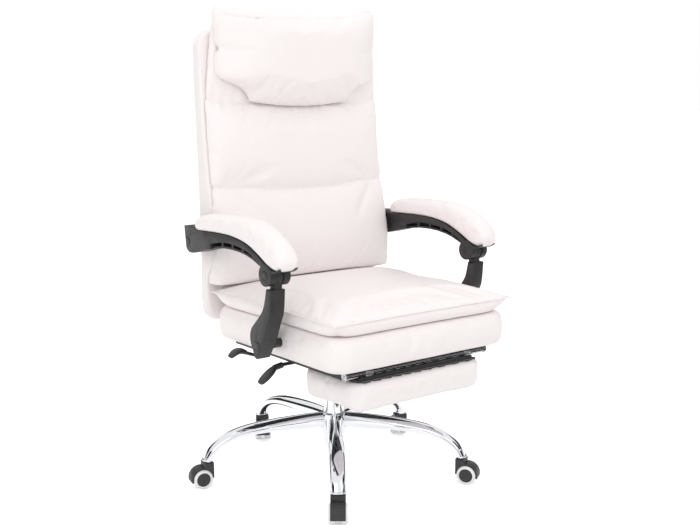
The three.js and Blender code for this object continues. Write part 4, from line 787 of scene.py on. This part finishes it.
BACK_HALF, SHELL_Y, SHELL_DEPTH, BACK_FOOT, SHELL_TOP, LEAN = 0.254, 0.150, 0.035, 0.375, 1.045, 0.0245
FRONT_ROLL, REAR_ROLL, FOOT_CORNER, HEAD_CORNER = 0.005, 0.012, 0.034, 0.042
FLAT_INSET, FLAT_DEPTH = 0.020, 0.0348  # the rear panel inside its corded seam
# Height, and how much farther forward the shell's front stands there, as it deepens to the seat
SHELL_WEDGE = [
    (0.36, 0), (0.478, 0), (0.505, 0.018), (0.54, 0.031), (0.60, 0.0325), (0.66, 0.0262), (0.70, 0.0195),
    (0.76, 0.0115), (0.85, 0.0045), (0.95, 0), (1.11, 0),
]


def shell_front(z):
    """Where the shell's front is at a height: it leans back, less its wedge."""
    wedge = smoothly(SHELL_WEDGE, np.ravel(z))[:, 1].reshape(np.shape(z))
    return SHELL_Y + (z - BACK_FOOT) * LEAN - wedge


def shell_ring(inset, depth, shrink=1.0, count=360):
    """A ring on the shell: its outline seen from the front, with small round corners at its foot and
    larger ones at its head, drawn in by inset, scaled about the middle, and set back by depth from
    its front, where a full depth lies on the flat rear. The front edge is rounder at the foot."""
    spots, ways = rounded_plan(BACK_HALF, BACK_FOOT, SHELL_TOP, FOOT_CORNER, count, HEAD_CORNER)
    middle = np.array((0, 0.70))
    if depth <= FRONT_ROLL:
        rounder = 1 + 1.6 * (1 - eased(spots[:, 1:], 0.40, 0.47))
        inset, depth = inset * rounder, depth * rounder[:, 0]
    x, z = (middle + (spots - inset * ways - middle) * shrink).T
    rear = SHELL_Y + (z - BACK_FOOT) * LEAN
    share = np.clip(1 - depth / SHELL_DEPTH, 0, 1)
    return np.stack((x, rear + depth - share * (rear - shell_front(z)), z), -1)


quarter = np.linspace(0, np.pi / 2, 10)
# The front roll, the side, the rear roll, and the cord's six rings
depths = np.concatenate((FRONT_ROLL * (1 - np.cos(quarter)), [SHELL_DEPTH / 2],
                         SHELL_DEPTH - REAR_ROLL * (1 - np.sin(quarter)),
                         (0.0352, 0.0362, 0.0366, 0.0362, 0.0351, FLAT_DEPTH)))
insets = np.concatenate((FRONT_ROLL * (1 - np.sin(quarter)), [-0.001], REAR_ROLL * (1 - np.cos(quarter)),
                         (0.0128, 0.0136, 0.0148, 0.0160, 0.0168, FLAT_INSET)))
rings = [shell_ring(FRONT_ROLL, 0.0, shrink) for shrink in np.linspace(0.03, 0.95, 8)]
rings += [shell_ring(inset, depth) for inset, depth in zip(insets, depths)]
for share in np.linspace(0.06, 0.97, 22):
    flat = shell_ring(FLAT_INSET, FLAT_DEPTH, 1 - share)
    flat[:, 1] += 0.0030 * np.sin(np.pi / 2 * share) + waves(flat, 0.25, 0.0014, 12)
    rings.append(flat)
shell = place("back_shell_cover", skin(np.stack(rings)), material=leather, body="backrest",
              replaced=["back_shell", "back_board"], slot="upholstery")

# Back cushion
# Three stuffed panels of white leather cloth lie on the shell: a deep lumbar roll, a middle panel
# and a head panel. The two seams between them sag, and small gathers run out from them.

BACK_LOW, BACK_HIGH, SWELL, HALF = 0.466, 1.094, 0.047, 0.256
# Height, depth and half width, as shares
BACK_EDGE = [
    (0, 1, 0.985), (0.1, 0.86, 1), (0.21, 0.72, 0.995), (0.36, 0.4, 0.985), (0.5, 0.13, 0.975),
    (0.67, -0.02, 0.965), (0.82, 0, 0.92), (0.95, -0.02, 0.885), (1, -0.06, 0.885),
]
SEAMS = (0, 0.357, 0.673, 1)
BULGES = (0.036, 0.032, 0.010)
SEAM_LEFT, SEAM_SAG = 0.2, 0.018  # how much of a bulge is left at a seam, and how far that hangs
HEAD_TUCK, TUCK_LOW, TUCK_HIGH = 0.012, 1.03, 1.09  # the head is that much thinner, from height to height
CUSHION_GAP = 0.0006  # between the cushion and the shell


def cushion_front(u, w):
    """Front of the back cushion for u across, -1 to 1, and w up, 0 to 1: the edge line's depth, and
    each panel's bulge rounded off to its two seams and to both sides; the seams sag in the middle."""
    u, w = np.broadcast_arrays(u, w)
    edge = smoothly(BACK_EDGE, w.ravel()).reshape(*w.shape, 3)
    x = u * HALF * edge[..., 2]
    z = BACK_LOW + w * (BACK_HIGH - BACK_LOW) - SEAM_SAG * (1 - u**2) * np.sin(np.pi * w)
    out = np.zeros(w.shape)
    for low, high, bulge in zip(SEAMS, SEAMS[1:], BULGES):
        at = np.clip((w - low) / (high - low), 0, 1)
        puff = np.maximum(1 - np.abs(2 * at - 1) ** 2.6, 0) ** 0.55
        out += bulge * (SEAM_LEFT + (1 - SEAM_LEFT) * puff) * (1 - u**4) ** 0.5 * ((w >= low) & (w < high))
    return np.stack((x, SHELL_Y - edge[..., 1] * SWELL - out, z), -1)


def cushion_body(rows=150, columns=120):
    """The closed skin: the front grid rolls round both sides on ovals to a flat rear face that
    leans with the shell, and its lower edge rests on the seat pad."""
    across = np.sin(np.linspace(-1, 1, columns) * np.pi / 2)
    front = cushion_front(across[None, :], np.linspace(0, 0.9999, rows)[:, None])
    front[..., 2] = np.maximum(front[..., 2], seat_crown(front[..., 0], front[..., 1]) + 0.001)
    height = np.linspace(BACK_LOW, BACK_HIGH, rows)[:, None]
    rear_y = shell_front(height) - CUSHION_GAP - HEAD_TUCK * eased(height, TUCK_LOW, TUCK_HIGH)
    t = np.linspace(0, 1, 9)[1:, None] * np.pi / 2
    lines = []
    for line, rear in zip(front, rear_y[:, 0]):
        sides = []
        for end, sign in ((line[-1], 1), (line[0], -1)):
            depth = max(rear - end[1], 0.0015)
            x = end[0] + sign * (0.005 * np.sin(2 * t) * min(depth / 0.03, 1) - 0.006 * (1 - np.cos(t)))
            sides.append(np.hstack((x, end[1] + depth * np.sin(t) ** 1.2, 0 * t + end[2])))
        inner = np.linspace(sides[0][-1, 0], sides[1][-1, 0], 26)[1:-1, None]
        back = np.hstack((inner, 0 * inner + rear, 0 * inner + line[0, 2]))
        lines.append(np.concatenate((line, sides[0], back, sides[1][::-1])))
    return np.stack(lines)


seam_lines = [cushion_front(np.linspace(-0.995, 0.995, 400), np.full(400, seam)) for seam in SEAMS[1:3]]


def cushion_held(p):
    """Held: the rear, the two seams, the head panel under the pillow and what lies on the seat."""
    rear = shell_front(p[:, 2]) - HEAD_TUCK * eased(p[:, 2], TUCK_LOW, TUCK_HIGH)
    held = (p[:, 1] > rear - 0.004) * 1.0 + (p[:, 2] > 0.90) + (p[:, 2] < 0.49)
    for line in seam_lines:
        held = held + (distances(p, line)[0] < 0.006)
    return held


back_cushion = stuffed(
    "back_cushion_cover", skin(cushion_body()), "backrest", "back_cushion",
    cushion_held, swell=0.008, spare=0.009, voxel=0.0065)
for number, line in enumerate(seam_lines):
    stitched(back_cushion, line, 0.0055, 0.0045, gather=0.0014, seed=20 + number)

# Head pillow
# A pillow as wide as the head panel is sewn to it along its own puffed edge. It tapers to its foot
# and is folded over at the top, where its corner on the sitter's left stands a little higher.

PILLOW_LOW, PILLOW_HIGH, PILLOW_HALF = 0.884, 1.100, 0.235
PILLOW_REAR, PILLOW_EDGE, PILLOW_BULGE = 0.1396, 0.006, 0.046
PILLOW_WRAP = 0.012  # how far its sides reach back round the head panel
PILLOW_EAR = 0.010
# Shares of the height and of the half width
PILLOW_SIDE = [
    (0, 0.61), (0.05, 0.63), (0.1, 0.665), (0.14, 0.715), (0.175, 0.79), (0.205, 0.87), (0.24, 0.945),
    (0.28, 0.985), (0.34, 1), (0.51, 1), (0.55, 0.985), (0.61, 1), (0.9, 1), (1, 0.965),
]


def pillow_wrap(x):
    """How far back the pillow's rear is at a place across: the sixth power of its share of the half."""
    return PILLOW_WRAP * np.abs(x / PILLOW_HALF) ** 6


def pillow_sheet(u, v, out):
    """A place on the pillow for u across and v up, each -1 to 1, standing out from its rear. Its
    middle sags, and the ear on the sitter's left stands a little higher."""
    share = (v + 1) / 2
    half = smoothly(PILLOW_SIDE, share.ravel())[:, 1].reshape(share.shape) * PILLOW_HALF
    x = u * (half - 0.008 * (1 - v**2))
    sag = (0.012 - 0.003 * share) * (1 - np.abs(u) ** (2 + 3 * share))
    ear = PILLOW_EAR * eased(u, 0.3, 1) * eased(v, 0, 1)
    z = PILLOW_LOW + share * (PILLOW_HIGH - PILLOW_LOW) - sag + ear
    return np.stack((x, PILLOW_REAR + pillow_wrap(x) - out, z), -1)


u_grid, v_grid, edge_u, edge_v = net(91, 0.95)
top = pillow_sheet(u_grid, v_grid, PILLOW_EDGE + PILLOW_BULGE * crown(u_grid, v_grid))
loops = [pillow_sheet(edge_u * k, edge_v * k, out)
         for k, out in ((1.0, 0.005), (0.998, 0.0035), (0.992, 0.0015))]
bottom = pillow_sheet(u_grid * 0.975, v_grid * 0.97, 0.0)
pillow_edge = pillow_sheet(edge_u, edge_v, PILLOW_EDGE)
pillow = stuffed(
    "head_pillow_cover", square_pad(top, loops, bottom), "backrest", "headrest_pillow",
    lambda p: (p[:, 1] > PILLOW_REAR + pillow_wrap(p[:, 0]) - 0.003) + (distances(p, pillow_edge)[0] < 0.006),
    swell=0.007, spare=0.009, voxel=0.005)
fold_u = np.linspace(-0.97, 0.97, 260)
fold_v = np.minimum(0.875 + 0.09 * fold_u + 0.11 * np.abs(fold_u) ** 9, 0.97)
fold = pillow_sheet(fold_u, fold_v, PILLOW_EDGE + PILLOW_BULGE * crown(fold_u, fold_v))
fold = laid(pillow, fold, 1)
fold[:, 1] = np.convolve(np.pad(fold[:, 1], 12, mode="edge"), np.ones(25) / 25, "valid")
stitched(pillow, fold, 0.0035, 0.0045)
notch = pillow_sheet(np.linspace(-1, -0.90, 20), np.full(20, 0.10), PILLOW_EDGE)
stitched(pillow, laid(pillow, notch, 1), 0.006, 0.008)

# Arms
# Each is a moulded lattice frame with a padded rest sewn over its top, hung on a bolt in the back,
# and pinned at the knuckle to a moulded post that turns on a bolt in the seat.

REAR_Y, RUN, ARM_FOOT, RISE, ARM_X, REST_HALF = 0.184, 0.425, 0.510, 0.100, 0.285, 0.030
# Low and high edge of the rest along the frame, and its width, all shares
REST = [
    (0.179, 0.9, 0.186, 0.98, 0.5), (0.188, 0.89, 0.192, 1.13, 0.84), (0.225, 0.89, 0.215, 1.21, 0.95),
    (0.3, 0.9, 0.29, 1.26, 1), (0.433, 0.91, 0.433, 1.29, 1), (0.55, 0.89, 0.57, 1.3, 1),
    (0.68, 0.79, 0.7, 1.27, 1), (0.786, 0.6, 0.81, 1.17, 1), (0.868, 0.42, 0.9, 0.99, 0.96),
    (0.92, 0.36, 0.95, 0.82, 0.9), (0.95, 0.37, 0.975, 0.68, 0.78), (0.975, 0.43, 0.988, 0.57, 0.5),
]


def arm_rest(side, rings=110, around=72):
    """The padded rest: a squarish oval carried through the table from its low edge to its high one,
    and closed at both ends."""
    table = through(REST, rings)
    low = np.stack((REAR_Y - table[:, 0] * RUN, ARM_FOOT + table[:, 1] * RISE), 1)
    high = np.stack((REAR_Y - table[:, 2] * RUN, ARM_FOOT + table[:, 3] * RISE), 1)
    wide = table[:, 4] * REST_HALF
    lift = (squared(np.sin(circle(around)), 0.75) + 1) / 2
    spots = np.zeros((rings, around, 3))
    spots[..., 0] = squared(np.cos(circle(around)), 0.6) * wide[:, None]
    spots[..., 1:] = low[:, None] + (high - low)[:, None] * lift[None, :, None]
    spots[..., 0] += side * ARM_X
    return spots


def arm_held(p):
    """Held: the underside of the rest, where it is sewn down over the frame."""
    low_edge = np.array(REST)
    floor = ARM_FOOT + RISE * np.interp((REAR_Y - p[:, 1]) / RUN, low_edge[:, 0], low_edge[:, 1])
    return (p[:, 2] < floor + 0.008) * 1.0


for label, side in (("left", 1), ("right", -1)):
    dressed(f"arm_frame_{label}", moulding, edge=0.0014)
    dressed(f"arm_post_{label}", moulding, edge=0.0014)
    for node in ("arm_post_bolt", "arm_rear_bolt", "arm_knuckle_pin"):
        dressed(f"{node}_{label}", enamel, edge=0.0007)
    stuffed(f"arm_pad_{label}_cover", skin(arm_rest(side)), f"arm_{label}",
            f"arm_pad_{label}", arm_held, swell=0.003, spare=0.02, voxel=0.0045)

# Floor, light and camera
# A pale floor that runs to white, a soft key from the front left with two weaker lamps, black cards
# for the chrome to reflect, and a nearly level view.

TARGET, DISTANCE, LENS, FILM = (0.0307, -0.0240, 0.509), 2.458, 53.65, 36
AZIMUTH, ELEVATION = np.radians(-38.004), np.radians(9.247)
away = np.array((np.sin(AZIMUTH) * np.cos(ELEVATION), -np.cos(AZIMUTH) * np.cos(ELEVATION),
                 np.sin(ELEVATION)))
camera = added("camera", bpy.data.cameras.new("camera"))
camera.location = Vector(np.array(TARGET) + DISTANCE * away)
camera.rotation_euler = Vector(-away).to_track_quat("-Z", "Y").to_euler()
camera.data.lens, camera.data.sensor_width = LENS, FILM
bpy.context.scene.camera = camera
LAMP_AIM = Vector((0, 0, 0.5))


def lamp(name, spot, size, power):
    """A square area lamp at a spot, turned to the middle of the chair."""
    light = bpy.data.lights.new(name, "AREA")
    light.energy, light.size = power, size
    made = added(name, light)
    made.location = spot
    made.rotation_euler = (LAMP_AIM - Vector(spot)).to_track_quat("-Z", "Y").to_euler()


lamp("key", (-2.7, -2.1, 2.0), 1.8, 15)
lamp("fill", (0.4, -3.3, 2.4), 2.0, 8)
lamp("top", (0.3, 0.2, 3.0), 2.2, 6)
dark_card = paint("dark_card", (0.01, 0.01, 0.01), 1)


def flag(name, low, high, deep=0.0):
    """A black card, seen only in reflections: upright between two corners or, with deep, level and
    reaching that far along y."""
    mesh = bpy.data.meshes.new(name)
    (a, b, c), (d, e, f) = low, high
    mesh.from_pydata([(a, b, c), (d, e, c), (d, e + deep, f), (a, b + deep, f)], [], [(0, 1, 2, 3)])
    mesh.materials.append(dark_card)
    card = added(name, mesh)
    card.visible_camera = card.visible_diffuse = card.visible_shadow = card.visible_transmission = False


flag("flag_behind_left", (-2.6, 2.4, 0.35), (-0.3, 2.9, 1.5))
flag("flag_behind_right", (0.5, 2.9, 0.35), (2.8, 1.9, 1.5))
flag("flag_left", (-3.0, -0.9, 0.5), (-2.9, 1.2, 1.7))
flag("flag_right", (2.9, -1.6, 0.5), (3.0, 0.8, 1.7))
flag("flag_front_low", (0.9, -3.9, 0.05), (3.3, -2.1, 1.1))
flag("flag_front_high", (0.9, -3.9, 1.4), (3.3, -2.1, 3.6))
flag("flag_floor", (-1.7, -0.5, 0.003), (1.7, -0.5, 0.003), deep=-1.6)


def seen_as_white(tree, plain, shown, output):
    """Shows one shader to the camera, to reflections and to glass, and the plain one to all else."""
    nodes, links = tree.nodes, tree.links
    ray = nodes.new("ShaderNodeLightPath")
    seen = ray.outputs["Is Camera Ray"]
    for kind in ("Is Glossy Ray", "Is Transmission Ray"):
        either = nodes.new("ShaderNodeMath")
        either.operation = "MAXIMUM"
        links.new(seen, either.inputs[0])
        links.new(ray.outputs[kind], either.inputs[1])
        seen = either.outputs[0]
    mix = nodes.new("ShaderNodeMixShader")
    links.new(seen, mix.inputs["Fac"])
    links.new(plain, mix.inputs[1])
    links.new(shown, mix.inputs[2])
    links.new(mix.outputs[0], output.inputs["Surface"])


FAR, GLOW = 40, 0.42
floor_mesh = bpy.data.meshes.new("floor")
floor_mesh.from_pydata([(-FAR, -FAR, 0), (FAR, -FAR, 0), (FAR, FAR, 0), (-FAR, FAR, 0)], [], [(0, 1, 2, 3)])
floor = added("floor", floor_mesh)
ground = paint("pale_floor", (0.9, 0.9, 0.9), 0.7)
nodes, links = ground.node_tree.nodes, ground.node_tree.links
haze = nodes.new("ShaderNodeEmission")
haze.inputs["Strength"].default_value = GLOW
lifted = nodes.new("ShaderNodeAddShader")
links.new(nodes["Principled BSDF"].outputs[0], lifted.inputs[0])
links.new(haze.outputs[0], lifted.inputs[1])
seen_as_white(ground.node_tree, nodes["Principled BSDF"].outputs[0], lifted.outputs[0],
              nodes["Material Output"])
floor_mesh.materials.append(ground)

world = bpy.data.worlds.new("studio")
bpy.context.scene.world = world
world.use_nodes = True
plain = world.node_tree.nodes["Background"]
plain.inputs["Color"].default_value, plain.inputs["Strength"].default_value = (1, 1, 1, 1), 1.0
shown = world.node_tree.nodes.new("ShaderNodeBackground")
shown.inputs["Color"].default_value = (1, 1, 1, 1)
seen_as_white(world.node_tree, plain.outputs[0], shown.outputs[0], world.node_tree.nodes["World Output"])

bpy.context.scene.view_settings.view_transform = "Standard"
